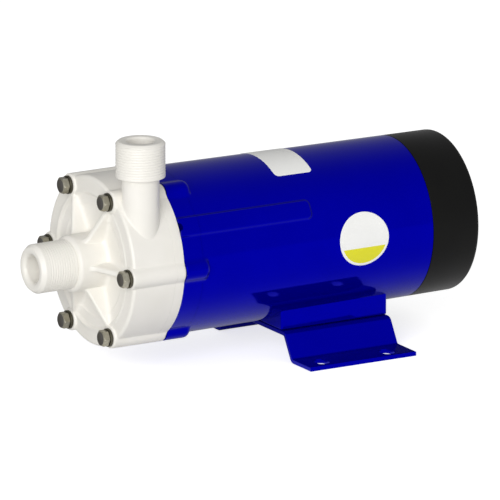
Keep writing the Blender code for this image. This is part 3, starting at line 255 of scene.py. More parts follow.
# Cold-forged stainless screws: grey-brown, with painted shade darkening their end faces
SCREW = Finish("forged stainless steel", "screw_steel", Grain.FORGED, "#A39F90", "#969283",
               0.36, 0.06, metallic=1.0, grain_mm=0.5, relief_mm=0.006, patch_mm=2.0,
               painted_shade_end_colour="#5C5853")
# Washers of the same steel, darkened all over as painted shade for the shadow under the screw heads
SHADED_WASHER = Finish("stainless steel darkened as painted shade", "screw_steel", Grain.FORGED, "#5A574B", "#4E4B41",
                0.44, 0.06, metallic=1.0, grain_mm=0.5, relief_mm=0.006, patch_mm=2.0)
# Sintered alumina, ground: dense warm white
CERAMIC = Finish("ground alumina", "ceramic", Grain.PRESSED, "#EFEADF", "#E8E2D6",
                 0.22, grain_mm=0.3, relief_mm=0.003)
# Resin-bonded carbon: matt black with a slight graphite shine
CARBON = Finish("bonded carbon", "carbon", Grain.PRESSED, "#232324", "#1C1C1D",
                0.46, grain_mm=0.4, relief_mm=0.006)
# Vulcanised rubber: deep, dull black
RUBBER = Finish("black nitrile rubber", "rubber", Grain.MOULDED, "#101010", "#0C0C0C",
                0.72, grain_mm=0.5, relief_mm=0.012)
# Ferrite, pressed and sintered: dull dark grey
FERRITE = Finish("sintered ferrite", "magnet", Grain.PRESSED, "#3B3B3E", "#323235",
                 0.55, grain_mm=0.5, relief_mm=0.015)
# Bright turned steel with fine tool rings
STEEL = Finish("turned steel", "steel", Grain.TURNED, "#C4C4C2", "#B8B8B6",
               0.26, 0.06, metallic=1.0, grain_mm=0.35, relief_mm=0.006)
# Punched sheets 0.5 mm thick, drawn 0.9 mm thick here so that the stack shows
LAMINATED = Finish("stacked lamination steel", "laminations", Grain.STACKED, "#8E9093", "#7F8184",
                   0.42, 0.10, metallic=1.0, grain_mm=0.9, relief_mm=0.05)
# Enamelled copper wire about 0.6 mm thick, drawn 0.9 mm thick so that the turns show
COPPER = Finish("enamelled copper wire", "copper", Grain.WOUND, "#B5673A", "#9C5430",
                0.34, 0.06, metallic=1.0, grain_mm=0.9, relief_mm=0.25)
# Die-cast aluminium: pale grey with a faint cast skin
ALUMINIUM = Finish("die-cast aluminium", "aluminium", Grain.PRESSED, "#B9BBBE", "#ABADB0",
                   0.42, 0.08, metallic=1.0, grain_mm=0.8, relief_mm=0.03)
# Bare self-adhesive film, white and slightly glossy
LABEL_FILM = Finish("white label film", "white_plastic", Grain.FILM, "#FCFCF9", "#F8F8F5",
                    0.30, 0.02, ior=1.48, grain_mm=3.0, relief_mm=0.002)
# The same film with a plain yellow field
YELLOW_FILM = Finish("yellow label film", "white_plastic", Grain.FILM, "#E9E51C", "#E5E11A",
                     0.30, 0.02, ior=1.48, grain_mm=3.0, relief_mm=0.002)


# Profiles and fields

def quarter(count: int) -> Array:
    """Angles of a quarter turn in radians, as a column."""
    return np.linspace(0.0, 0.5 * math.pi, count)[:, None]


def full_turn(count: int) -> Array:
    """Angles once round in radians, as a row."""
    return np.linspace(0.0, TURN, count, endpoint=False)[None, :]


def smooth_least(first: Array, second: Array, blend: float) -> Array:
    """The lesser of two fields, less a quarter of the blend times their nearness squared."""
    near = np.maximum(blend - np.abs(first - second), 0.0) / blend
    return np.minimum(first, second) - 0.25 * blend * near * near


def rise(value: Array, start: float, end: float) -> Array:
    """Cubic step, 3t squared minus 2t cubed, with t going from 0 at start to 1 at end."""
    share = np.clip((value - start) / (end - start), 0.0, 1.0)
    return share * share * (3.0 - 2.0 * share)


def edge_fall(inside: Array, radius: float, slope: float = 6.0) -> Array:
    """How far a quarter-round edge has fallen at a distance inside it.

    On the edge it has fallen by the radius, one radius inside it by nothing, along a
    circle between them. Outside the edge it goes on falling along a slope.

    Args:
        inside: distance inside the edge, negative outside it.
        radius: radius of the edge.
        slope: fall per unit of distance outside the edge.

    Returns:
        The fall, zero or more.
    """
    rest = radius - np.clip(inside, 0.0, radius)
    fall = radius - np.sqrt(np.maximum(radius * radius - rest * rest, 0.0))
    return np.where(inside < 0.0, radius - slope * inside, fall)


def arc_weights(half: Array, share: Array) -> tuple[Array, Array, Array]:
    """Weights of an arc's start, corner and end, as a rational quadratic curve.

    With t the share of the arc, they are (1 - t) squared, 2t (1 - t) times the sine of half
    the corner's angle, and t squared, all over their sum.
    """
    return (1.0 - share) ** 2, 2.0 * np.sin(half) * share * (1.0 - share), share ** 2


def rounded(*corners: tuple[float, ...], steps: int = 5, closed: bool = False) -> Array:
    """An outline with its corners rounded by true arcs.

    Args:
        corners: along, radius and, where it has one, rounding of each, in millimetres.
        steps: steps in each arc.
        closed: whether the last corner joins the first.

    Returns:
        Points as (along, radius) in metres.
    """
    table = np.array([(*corner, 0.0)[:3] for corner in corners], float) * MM
    spots, sizes = table[:, :2], table[:, 2]
    before = np.roll(spots, 1, axis=0) - spots
    after = np.roll(spots, -1, axis=0) - spots
    if not closed:
        before[0], after[-1], sizes[0], sizes[-1] = -after[0], -before[-1], 0.0, 0.0
    before /= np.linalg.norm(before, axis=1, keepdims=True)
    after /= np.linalg.norm(after, axis=1, keepdims=True)
    half = 0.5 * np.arccos(np.clip(np.sum(before * after, axis=1), -1.0, 1.0))[:, None, None]
    reach = sizes[:, None, None] / np.tan(np.maximum(half, 1e-3))
    first, middle, last = arc_weights(half, np.linspace(0.0, 1.0, steps + 1)[None, :, None])
    corner = spots[:, None, :]
    start = corner + before[:, None, :] * reach
    end = corner + after[:, None, :] * reach
    points = (first * start + middle * corner + last * end) / (first + middle + last)
    points = points.reshape(-1, 2)
    step = np.linalg.norm(np.diff(points, axis=0, prepend=points[:1] + 1.0), axis=1)
    return points[step > 1e-7]


def rectangle(half_along: float, half_aside: float, corner: float, steps: int = 4,
              middle: float = 0.0) -> Array:
    """A rectangle with round corners, of half sizes in millimetres, round a middle point."""
    return rounded(*[(middle + along * half_along, aside * half_aside, corner)
                     for along, aside in ((-1, -1), (1, -1), (1, 1), (-1, 1))],
                   steps=steps, closed=True)


def lobed_radius(offset: Array, body: Array | float, boss: Array | float,
                 blend: float) -> Array:
    """Outline of a round body with a screw boss, as a radius seen from the shaft.

    The outline is where the smooth lesser of two distances is zero, the one outside the
    body's circle and the one outside the boss's circle. It is found by halving.

    Args:
        offset: angle from the boss, in radians.
        body: radius of the body.
        boss: radius of the boss, negative where there is none.
        blend: width of the fillet between the two.

    Returns:
        The radius for each offset.
    """
    low = np.broadcast_to(body, offset.shape) - 2.0 * MM
    high = low + 12.0 * MM
    for _ in range(36):
        middle = 0.5 * (low + high)
        lobe = np.hypot(middle * np.cos(offset) - BOLT_CIRCLE, middle * np.sin(offset)) - boss
        inside = smooth_least(middle - body, lobe, blend) < 0.0
        low = np.where(inside, middle, low)
        high = np.where(inside, high, middle)
    return high


def stack_bands(angle: Array, *bands: Array | tuple) -> list[Array]:
    """Put bands of rows together to one grid, each spread out to the grid's width.

    Args:
        angle: angles of the columns, as a row.
        bands: outlines of (along, radius) points, or the along and the radius of some
            rows, with angles of their own as a third entry where they differ.

    Returns:
        Along, radius and angle of the grid.
    """
    whole = []
    for band in bands:
        parts = (band[:, :1], band[:, 1:]) if isinstance(band, np.ndarray) else band
        whole.append(np.broadcast_arrays(*(*parts, angle)[:3]))
    return [np.concatenate(parts) for parts in zip(*whole)]


# Lines that shapes are turned round, and skins over grids of points

@dataclass(frozen=True)
class Axis:
    """A straight line that shapes are turned round.

    Its stations start at the origin and grow along it. Zero and side are the directions of
    the angle zero and of a quarter turn.
    """

    origin: tuple[float, float, float]
    along: tuple[float, float, float]
    zero: tuple[float, float, float]
    side: tuple[float, float, float]

    def place(self, along: Array | float, radius: Array | float, angle: Array | float) -> Array:
        """Points at a station, a radius and an angle.

        Origin, plus the station along the line, plus the radius times the cosine of the
        angle along zero and its sine along side. X, y and z are last in the array.
        """
        along, radius, angle = np.broadcast_arrays(along, radius, angle)
        return (np.array(self.origin) + along[..., None] * np.array(self.along)
                + (radius * np.cos(angle))[..., None] * np.array(self.zero)
                + (radius * np.sin(angle))[..., None] * np.array(self.side))

    def beside(self, radius: float, degrees: float) -> "Axis":
        """A line parallel to this one, at a radius and an angle from it."""
        spot = self.place(0.0, radius, math.radians(degrees))
        return Axis(tuple(spot.tolist()), self.along, self.zero, self.side)

    def spoke(self, degrees: float) -> "Axis":
        """A line that leaves this one square to it, at an angle."""
        spokes = [self.place(0.0, 1.0, math.radians(degrees + more)) - np.array(self.origin)
                  for more in (0.0, 90.0)]
        return Axis(self.origin, tuple(spokes[0]), self.along, tuple(spokes[1]))


def upright(station: float, across: float, height: float = 0.0) -> Axis:
    """A line straight up from a point."""
    return Axis((station, across, height), (0.0, 0.0, 1.0), (1.0, 0.0, 0.0), (0.0, 1.0, 0.0))


@dataclass
class Skin:
    """A closed skin of points in metres, and faces of four point numbers."""

    points: Array
    faces: Array

    @classmethod
    def over(cls, grid: Array, wrap_rows: bool = False) -> "Skin":
        """Cover a grid of points whose columns run once round.

        Face (i, j) joins the points (i, j), (i, j+1), (i+1, j+1) and (i+1, j), where the
        column after the last is the first.

        Args:
            grid: rows by columns of points.
            wrap_rows: whether the last row joins the first as well.

        Returns:
            The skin.
        """
        rows, columns = grid.shape[:2]
        row = np.arange(rows if wrap_rows else rows - 1)[:, None]
        column = np.arange(columns)[None, :]
        here, below = row * columns, (row + 1) % rows * columns
        beside = (column + 1) % columns
        faces = np.stack([here + column, here + beside, below + beside, below + column], axis=-1)
        return cls(grid.reshape(-1, 3), faces.reshape(-1, 4))

    @classmethod
    def turned(cls, axis: Axis, profile: Array, facets: int = 128) -> "Skin":
        """Turn an outline of (along, radius) points once round a line.

        A profile that starts and ends on the line is open, and any other is closed.

        Args:
            axis: the line.
            profile: the outline in metres.
            facets: facets round the turn.

        Returns:
            The skin.
        """
        grid = axis.place(profile[:, :1], profile[:, 1:], full_turn(facets))
        on_line = profile[0, 1] < 1e-9 and profile[-1, 1] < 1e-9
        return cls.over(grid, wrap_rows=not on_line)

    @classmethod
    def rod(cls, axis: Axis, start: float, end: float, radius: float,
            facets: int = 48) -> "Skin":
        """A plain round bar between two stations of a line, in millimetres."""
        return cls.turned(axis, MM * np.array([[start, 0.0], [start, radius], [end, radius],
                                               [end, 0.0]]), facets)

    @classmethod
    def prism(cls, axis: Axis, outline: Array, start: float, end: float) -> "Skin":
        """A straight bar between two stations of a line.

        Args:
            axis: the line.
            outline: its outline, as (zero, side) points in metres.
            start: first station in millimetres.
            end: last station in millimetres.

        Returns:
            The skin.
        """
        middle = np.broadcast_to(outline.mean(axis=0), outline.shape)
        edge = np.stack([middle, outline, outline, middle])
        along = MM * np.array([start, start, end, end])[:, None]
        return cls.over(axis.place(along, np.hypot(edge[..., 0], edge[..., 1]),
                                   np.arctan2(edge[..., 1], edge[..., 0])))


def link_object(name: str, data: bpy.types.ID) -> Thing:
    """Make an object of a mesh, lamp or camera, and link it to the scene.

    Args:
        name: name of the object.
        data: its mesh, lamp or camera.

    Returns:
        The object.
    """
    thing = bpy.data.objects.new(name, data)
    bpy.context.scene.collection.objects.link(thing)
    return thing


def make_piece(name: str, skin: Skin) -> Thing:
    """Make one object of a skin, close its poles and turn all its faces outwards.

    Args:
        name: name of the object and its mesh.
        skin: its skin.

    Returns:
        The object, at the origin.
    """
    mesh = bpy.data.meshes.new(name)
    mesh.from_pydata(skin.points.tolist(), [], skin.faces.tolist())
    shape = bmesh.new()
    shape.from_mesh(mesh)
    bmesh.ops.remove_doubles(shape, verts=shape.verts, dist=2e-6)
    bmesh.ops.dissolve_degenerate(shape, edges=shape.edges, dist=1e-7)
    bmesh.ops.recalc_face_normals(shape, faces=shape.faces)
    shape.to_mesh(mesh)
    shape.free()
    return link_object(name, mesh)


def combine(thing: Thing, added: Iterable[Skin], taken: Iterable[Skin]) -> None:
    """Add shapes to a piece, take others out of it, and keep the result as its mesh.

    Args:
        thing: the piece.
        added: what is added, first.
        taken: what is taken out, after that.
    """
    tools = []
    for operation, skins in (("UNION", added), ("DIFFERENCE", taken)):
        for skin in skins:
            tools.append(make_piece("tool", skin))
            step = thing.modifiers.new("tool", "BOOLEAN")
            step.operation, step.solver, step.object = operation, "MANIFOLD", tools[-1]
    graph = bpy.context.evaluated_depsgraph_get()
    result = bpy.data.meshes.new_from_object(thing.evaluated_get(graph))
    thing.modifiers.clear()
    plain = thing.data
    thing.data = result
    result.name = thing.name
    bpy.data.meshes.remove(plain)
    for tool in tools:
        bpy.data.objects.remove(tool, do_unlink=True)
    LOG.info("%s: %d faces after %d tools", thing.name, len(result.polygons), len(tools))


def bolt_holes(axis: Axis, start: float, end: float) -> list[Skin]:
    """The six cover screws' holes, between stations in millimetres."""
    return [Skin.rod(axis.beside(BOLT_CIRCLE, degrees), start, end, BOLT_HOLE, 32)
            for degrees in BOLT_ANGLES]


def dress(thing: Thing, finish: Finish, body: str, *nodes: str,
          crease: float = 32.0) -> None:
    """Give a piece its finish, its body and the solids that it stands for.

    Args:
        thing: the piece.
        finish: its finish.
        body: the body that it rides on.
        nodes: the solids that it replaces.
        crease: edges sharper than this many degrees stay sharp.
    """
    thing.data.materials.clear()
    thing.data.materials.append(finish.material())
    thing.data.shade_smooth()
    thing.data.set_sharp_from_angle(angle=math.radians(crease))
    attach(thing, body)
    if nodes:
        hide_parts(*nodes)
    LOG.info("%s: %d faces", thing.name, len(thing.data.polygons))


# Where things are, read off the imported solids

@dataclass(frozen=True)
class Stations:
    """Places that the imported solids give, in metres."""

    tip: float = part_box("front_casing")[0].x
    inlet_length: float = 35.1 * MM
    housing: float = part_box("motor_housing")[0].x
    housing_rear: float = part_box("motor_housing")[1].x
    cap_rear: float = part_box("rear_cap")[1].x
    cup_rear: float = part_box("rear_casing")[1].x
    foot_front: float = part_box("foot_bracket")[0].x
    foot_rear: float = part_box("foot_bracket")[1].x
    shaft: float = 0.0608

    def line(self, station: float) -> Axis:
        """The shaft's line, with its stations measured from the given one."""
        return Axis((station, 0.0, self.shaft), (1.0, 0.0, 0.0), (0.0, -1.0, 0.0),
                    (0.0, 0.0, 1.0))


PLACES = Stations()
# The shaft's line from the front faces of the screw bosses, and from the housing's front
HEAD = PLACES.line(PLACES.tip + PLACES.inlet_length)
MOTOR = PLACES.line(PLACES.housing)


def six_sectors(along: Array, radius: Array, offset: Array) -> Array:
    """Repeat one sector's grid of the head at each of the six screws."""
    return np.concatenate([HEAD.place(along, radius, offset + math.radians(degrees))
                           for degrees in BOLT_ANGLES], axis=1)


@dataclass
class PipeThread:
    """A pipe thread as relief on a turned surface, between two stations."""

    crest: float
    depth: float
    start: float
    end: float
    pitch: float = 1.45 * MM

    def surface(self, angle: Array) -> tuple[Array, Array]:
        """Stations and radius of the thread's surface, with eight stations to a pitch.

        The crest minus the depth times a wave, one to a pitch, which moves on by one
        pitch in a turn. It fades in at the start and out at the end.

        Args:
            angle: angles in radians, as a row.

        Returns:
            The stations as a column, and the radius at each point.
        """
        count = int(round(8.0 * (self.end - self.start) / self.pitch))
        along = np.linspace(self.start, self.end, count + 1)[:, None]
        fade = (rise(along, self.start, self.start + 1.2 * self.pitch)
                * rise(-along, -self.end, -self.end + self.pitch))
        wave = 0.5 - 0.5 * np.cos(TURN * (along / self.pitch - angle / TURN))
        return along, self.crest - self.depth * fade * wave ** 0.8


@dataclass
class FrontCasing:
    """The white moulding: inlet, ribs, screw bosses, rim and outlet.

    Stations are measured from the screw bosses' front faces, rearwards. Beside a rib the
    grid has columns at the distances of offsets, and then shares of what is left.
    """

    rim_radius: float = 45.6 * MM
    rim_front: float = 1.1 * MM
    rim_start: float = 44.0 * MM
    rim_round: float = 1.7 * MM
    boss_round: float = 0.7 * MM
    boss_blend: float = 0.6 * MM
    lobe_blend: float = 0.5 * MM
    hub_radius: float = 15.3 * MM
    hub_flat: float = 12.6 * MM
    hub_front: float = -13.7 * MM
    hub_shoulder: float = -11.2 * MM
    hub_fillet: float = 2.6 * MM
    rib_front: float = -6.3 * MM
    rib_low: float = 0.2 * MM
    rib_reach: float = 36.6 * MM
    rib_half: float = 1.5 * MM
    rib_round: float = 1.1 * MM
    rib_blend: float = 0.9 * MM
    rib_drop: float = 4.0
    rib_fillet: float = 2.6 * MM
    dish_depth: float = 2.1 * MM
    cone_depth: float = 0.9 * MM
    cone_radius: float = 29.6 * MM
    terraces: tuple = ((-0.45, 29.5, 30.4), (-0.35, 31.0, 35.0), (-1.45, 34.9, 37.0),
                       (0.3, 37.2, 38.6))
    depth: float = 26.25 * MM
    outlet_station: float = 13.4 * MM
    outlet_offset: float = 31.3 * MM
    neck_radius: float = 9.95 * MM
    neck_fillet: float = 1.9 * MM
    bore: float = 7.25
    bore_round: float = 1.25
    offsets: Array = field(default_factory=lambda: MM * np.array(
        [0.0, 0.4, 0.7, 0.95, 1.15, 1.3, 1.42, 1.5, 1.58, 1.68, 1.8, 1.95, 2.1, 2.3, 2.5, 2.8,
         3.2, 3.7, 4.3]))
    shares: Array = field(default_factory=lambda: np.concatenate(
        [np.linspace(0.0, 0.17, 11)[1:], np.linspace(0.17, 1.0, 13)[1:]]))
    radii: Array = field(default_factory=lambda: MM * np.array(
        [*np.arange(18.6, 29.4, 0.9), 29.7, 29.95, 30.2, 30.5, 30.8, 31.5, 32.5, 33.6, 34.4,
         *np.arange(34.8, 38.7, 0.2), *np.arange(39.0, 44.1, 0.5)]))

    def columns(self, radius: Array) -> Array:
        """Angles of the grid's columns from the nearest screw, for one sector.

        Near a rib the columns keep a set distance from its middle line, so its sides are
        followed by whole columns. Beyond, they share out what is left of half the sector.

        Args:
            radius: the radius of each row, as a column.

        Returns:
            Rows by columns of angles in radians, from -30 up to 30 degrees.
        """
        near = np.arcsin(self.offsets / np.maximum(radius, self.hub_radius))
        far = near[:, -1:] + (math.pi / 6.0 - near[:, -1:]) * self.shares
        half = np.concatenate([near, far], axis=1)
        return np.concatenate([-half[:, :0:-1], half[:, :-1]], axis=1)

    def outline(self) -> tuple[Array, Array]:
        """Angles and radii of the lobed rim, for one sector."""
        edge_at = self.columns(np.array([[self.rim_start]]))
        return edge_at, lobed_radius(edge_at, self.rim_radius, BOSS_RADIUS, self.lobe_blend)

    def dish(self, radius: Array) -> Array:
        """Depth of the front: a shallow cone, a step, a band, a wall, a low lip and the rim.

        Args:
            radius: distance from the shaft.

        Returns:
            Its station at each radius.
        """
        cone = np.clip((self.cone_radius - radius) / (self.cone_radius - self.hub_radius), 0.0, 1.0)
        depth = self.rim_front + self.dish_depth + self.cone_depth * cone
        for height, start, end in self.terraces:
            depth = depth + height * MM * rise(radius, start * MM, end * MM)
        return depth

    def front(self, radius: Array, offset: Array) -> Array:
        """Station of the front surface.

        The smooth lesser of three surfaces: the rim with its rounded edge, the screw
        boss with its own, and the rib, whose crest falls in a straight line from the
        hub to the boss. A fillet along the rib and one round the hub are taken off.

        Args:
            radius: distance from the shaft.
            offset: angle from the nearest screw.

        Returns:
            The station at each point.
        """
        out = radius * np.cos(offset)
        aside = np.abs(radius * np.sin(offset))
        rim = self.dish(radius) + edge_fall(self.rim_radius - radius, self.rim_round)
        boss = edge_fall(BOSS_RADIUS - np.hypot(out - BOLT_CIRCLE, aside), self.boss_round)
        share = (out - self.hub_radius) / (self.rib_reach - self.hub_radius)
        crest = self.rib_front + share * (self.rib_low - self.rib_front)
        crest = crest + self.rib_drop * np.maximum(out - self.rib_reach + 0.2 * MM, 0.0)
        rib = crest + edge_fall(self.rib_half - aside, self.rib_round, 9.0)
        floor = smooth_least(rim, boss, self.boss_blend)
        stands = np.clip((floor - crest) / (1.4 * self.rib_fillet), 0.0, 1.0)
        beside = np.maximum(aside - self.rib_half - 0.2 * MM, 0.0)
        floor = floor - stands * edge_fall(beside, self.rib_fillet)
        surface = smooth_least(floor, rib, self.rib_blend)
        return surface - edge_fall(radius - self.hub_radius, self.hub_fillet)

    def body(self) -> Skin:
        """The moulding without its nozzles, hollow for the impeller.

        Rows run from the hub's shoulder outwards over the front, along the side, across
        the joint and back through the chamber and the suction passage.

        Returns:
            The skin.
        """
        turn = quarter(9)
        hub_at = self.columns(np.array([[self.hub_radius]]))
        edge_at, outline = self.outline()
        round_along = self.hub_shoulder + (self.hub_front - self.hub_shoulder) * np.cos(turn)
        round_radius = self.hub_flat + (self.hub_radius - self.hub_flat) * np.sin(turn)
        fillet = self.hub_radius + self.hub_fillet * (1.0 - np.cos(quarter(10)))
        radii = np.concatenate([fillet, self.radii[:, None]])
        inner_at = self.columns(radii)
        inner_along = self.front(radii, inner_at)
        share = np.sin(quarter(13))[1:]
        rim_radius = self.rim_start + (outline - self.rim_start) * share
        rim_along = self.front(rim_radius, edge_at)
        climb = np.array([0.3, 0.7])[:, None]
        run = np.array([0.08, 0.3, 0.65, 1.0])[:, None]
        side_end = self.depth - JOINT_CHAMFER - rim_along[-1:]
        inside = MM * np.array([[26.25, 35.0], [8.2, 35.0], [8.2, 14.0], [4.7, 14.0], [4.7, 9.6],
                                [-6.0, 9.6], [-11.5, 7.7], [-13.7, 7.7]])
        return Skin.over(six_sectors(*stack_bands(
            edge_at,
            (round_along, round_radius, hub_at),
            (self.hub_shoulder + (inner_along[:1] - self.hub_shoulder) * climb,
             self.hub_radius, hub_at),
            (inner_along, radii, inner_at),
            (rim_along, rim_radius),
            (rim_along[-1:] + side_end * run, outline),
            (self.depth, outline - JOINT_CHAMFER),
            inside)), wrap_rows=True)

    def inlet(self) -> Skin:
        """The threaded inlet tube, whose rear end is sunk in the hub.

        Returns:
            The skin.
        """
        angle = full_turn(160)
        tip = rounded((-20.0, 7.45), (-35.1, 7.45, 2.4), (-35.1, 11.5, 0.9), (-32.8, 13.22, 1.2),
                      (-31.9, 13.22), steps=8)[:-1]
        thread = PipeThread(13.22 * MM, 0.20 * MM, -32.0 * MM, -13.9 * MM).surface(angle)
        rear = MM * np.array([[-13.55, 12.9], [-13.5, 12.3], [-11.6, 12.3], [-11.6, 7.45]])
        return Skin.over(HEAD.place(*stack_bands(angle, tip, thread, rear)), wrap_rows=True)

    def outlet_axis(self) -> Axis:
        """The upright line in the middle of the outlet, from the shaft's height."""
        return upright(HEAD.origin[0] + self.outlet_station, -self.outlet_offset, PLACES.shaft)

    def outlet(self) -> Skin:
        """The outlet neck and its threaded end, with a fillet where it leaves the side.

        The foot follows the side's surface: at each angle round the neck the side rises
        or falls along a straight slope, and the fillet is an arc between that slope and
        the upright wall.

        Returns:
            The skin, still solid inside.
        """
        angle = full_turn(160)
        across = -self.outlet_offset + self.neck_radius * np.sin(angle)
        foot = np.sqrt(self.rim_radius ** 2 - across ** 2)
        slope = np.arctan(-across * np.sin(angle) / foot)
        half = 0.5 * (0.5 * math.pi - slope)
        reach = np.minimum(self.neck_fillet / np.tan(half), 2.6 * MM)
        first, middle, last = arc_weights(half, np.linspace(0.0, 1.0, 9)[:, None])
        total = first + middle + last
        out = first * reach * np.cos(slope) / total
        up = (first * (reach * np.sin(slope) - 0.05 * MM) + last * reach) / total
        shoulder = rounded((40.0, 9.95), (51.25, 9.95, 0.35), (51.25, 13.2, 0.4), (51.9, 13.2),
                           steps=4)[1:-1]
        lip = rounded((69.2, 13.2), (69.35, 13.2, 1.0), (70.7, 11.7, 0.7), (70.7, 0.0))[1:]
        along, radius, turn = stack_bands(
            angle, (foot - 3.0 * MM, 0.0), (foot - 3.0 * MM, self.neck_radius - 0.3 * MM),
            (foot + up, self.neck_radius + out), shoulder,
            PipeThread(13.2 * MM, 0.19 * MM, 51.9 * MM, 69.2 * MM).surface(angle), lip)
        along[0] = along[0].mean()
        return Skin.over(self.outlet_axis().place(along, radius, turn))

    def outlet_bore(self) -> Skin:
        """Tool for the outlet's bore, flared by a quarter round where it meets the lip.

        Returns:
            The skin.
        """
        edge, turn = 69.5, quarter(7)
        bore = rounded((2.0, 0.0), (2.0, self.bore), (edge, self.bore))
        flare = MM * np.hstack([edge + self.bore_round * np.sin(turn),
                                self.bore + self.bore_round * (1.0 - np.cos(turn))])
        end = MM * np.array([[72.0, 8.6], [72.0, 0.0]])
        return Skin.turned(self.outlet_axis(), np.concatenate([bore, flare, end]), 96)

    def spider(self) -> list[Skin]:
        """Hub and three arms that hold the spindle in the suction passage.

        Returns:
            Their skins.
        """
        hub = rounded((-0.3, 0.0), (-0.3, 5.2, 0.8), (5.7, 5.2, 0.3), (5.7, 3.3), (1.2, 3.3),
                      (1.2, 0.0))
        arm = rectangle(2.6, 1.3, 0.5, 3, 2.7)
        return [Skin.turned(HEAD, hub, 64),
                *(Skin.prism(HEAD.spoke(degrees), arm, 4.4, 10.2) for degrees in THREE_ANGLES)]

    def build(self) -> None:
        """Fuse the parts, cut the bores and dress the piece."""
        casing = make_piece("front_casing_moulding", self.body())
        combine(casing, [self.inlet(), self.outlet(), *self.spider()],
                [self.outlet_bore(), *bolt_holes(HEAD, -2.0, 30.0)])
        dress(casing, WHITE, "pump", "front_casing")


@dataclass
class RearCasing:
    """White flange behind the joint, with the thin cup that holds the impeller's magnet.

    Sizes are in millimetres.
    """

    front: float = 26.3
    rear: float = 31.88
    cup_outside: float = 21.8
    cup_inside: float = 20.0
    least_edge: float = 0.35
    more_edge: float = 1.2
    head: FrontCasing = field(default_factory=FrontCasing)

    def build(self) -> None:
        """Carry the head's lobed outline over the flange, and turn the cup.

        The rear edge falls away along an arc, wider on the screw bosses than between
        them, as the boss's share of the outline grows.
        """
        at, outline = self.head.outline()
        lobe = rise(outline, self.head.rim_radius, self.head.rim_radius + 1.6 * MM)
        edge = (self.least_edge + self.more_edge * lobe) * MM
        turn = quarter(8)
        cup = (PLACES.cup_rear - HEAD.origin[0]) / MM
        inside = rounded((cup - 1.5, 0.0), (cup - 1.5, 3.3), (cup - 6.0, 3.3, 0.4),
                         (cup - 6.0, self.cup_inside, 2.0), (self.front, self.cup_inside, 0.3),
                         (self.front, 44.0))
        outside = rounded((self.rear, 43.0), (self.rear, self.cup_outside, 2.5),
                          (cup, self.cup_outside, 2.0), (cup, 0.0))
        casing = make_piece("rear_casing_moulding", Skin.over(six_sectors(*stack_bands(
            at, inside,
            (self.front * MM, outline - JOINT_CHAMFER),
            (self.front * MM + JOINT_CHAMFER, outline),
            (self.rear * MM - edge * (1.0 - np.sin(turn)), outline - edge * (1.0 - np.cos(turn))),
            outside))))
        combine(casing, [], bolt_holes(HEAD, 24.0, 34.0))
        dress(casing, WHITE, "pump", "rear_casing")


@dataclass
class CoverScrew:
    """One hexagon screw and its washer on the pump head."""

    number: int
    degrees: float
    half_across: float = 4.0 * MM
    head_height: float = 3.6 * MM
    seat: float = -1.7 * MM
    shank: float = 2.4 * MM
    shank_end: float = 41.8 * MM
    dimple: float = 0.12 * MM
    chamfer_share: float = 0.88

    def head(self) -> Skin:
        """Hexagon with a chamfered top, two corners level with the screw.

        At each angle the hexagon's radius is half the width across the flats over the
        cosine of the angle from the flat's middle. Near the top it is held within a cone
        of 30 degrees, which leaves the arcs that a turned chamfer makes on the flats.

        Returns:
            The skin, with the shank.
        """
        angle = full_turn(96)
        hexagon = self.half_across / np.cos((angle % (math.pi / 3.0)) - math.pi / 6.0)
        depth = MM * np.array([0.0, 0.08, 0.16, 0.24, 0.32, 0.4, 0.5, 0.7, 1.2, 2.4, 3.45])[:, None]
        cone = self.half_across * self.chamfer_share + depth * math.tan(math.radians(60.0))
        top = self.seat - self.head_height
        return Skin.over(HEAD.beside(BOLT_CIRCLE, self.degrees).place(*stack_bands(
            angle, (top + self.dimple, 0.0), (top + self.dimple, 0.62 * self.half_across),
            (top, 0.72 * self.half_across), (top + depth, np.minimum(hexagon, cone)),
            (self.seat, np.minimum(hexagon, self.half_across * 1.06)), (self.seat, self.shank),
            (self.shank_end - 0.4 * MM, self.shank), (self.shank_end, self.shank - 0.4 * MM),
            (self.shank_end, 0.0))))

    def build(self) -> None:
        """Make and dress the screw and its washer, a plain ring with softly rounded edges, darkened
        as painted shade.
        """
        screw = make_piece("hexagon_screw_%d" % self.number, self.head())
        dress(screw, SCREW, "pump", "cover_screw_%d" % self.number, crease=20.0)
        washer = rounded((-0.15, 2.7, 0.1), (-0.15, 4.95, 0.15), (-1.5, 4.95, 0.25),
                         (-1.5, 2.7, 0.1), steps=3, closed=True)
        ring = make_piece("screw_washer_%d" % self.number,
                          Skin.turned(HEAD.beside(BOLT_CIRCLE, self.degrees), washer, 96))
        # the washer's dark steel is painted shade under the screw head
        dress(ring, SHADED_WASHER, "pump", "cover_washer_%d" % self.number)


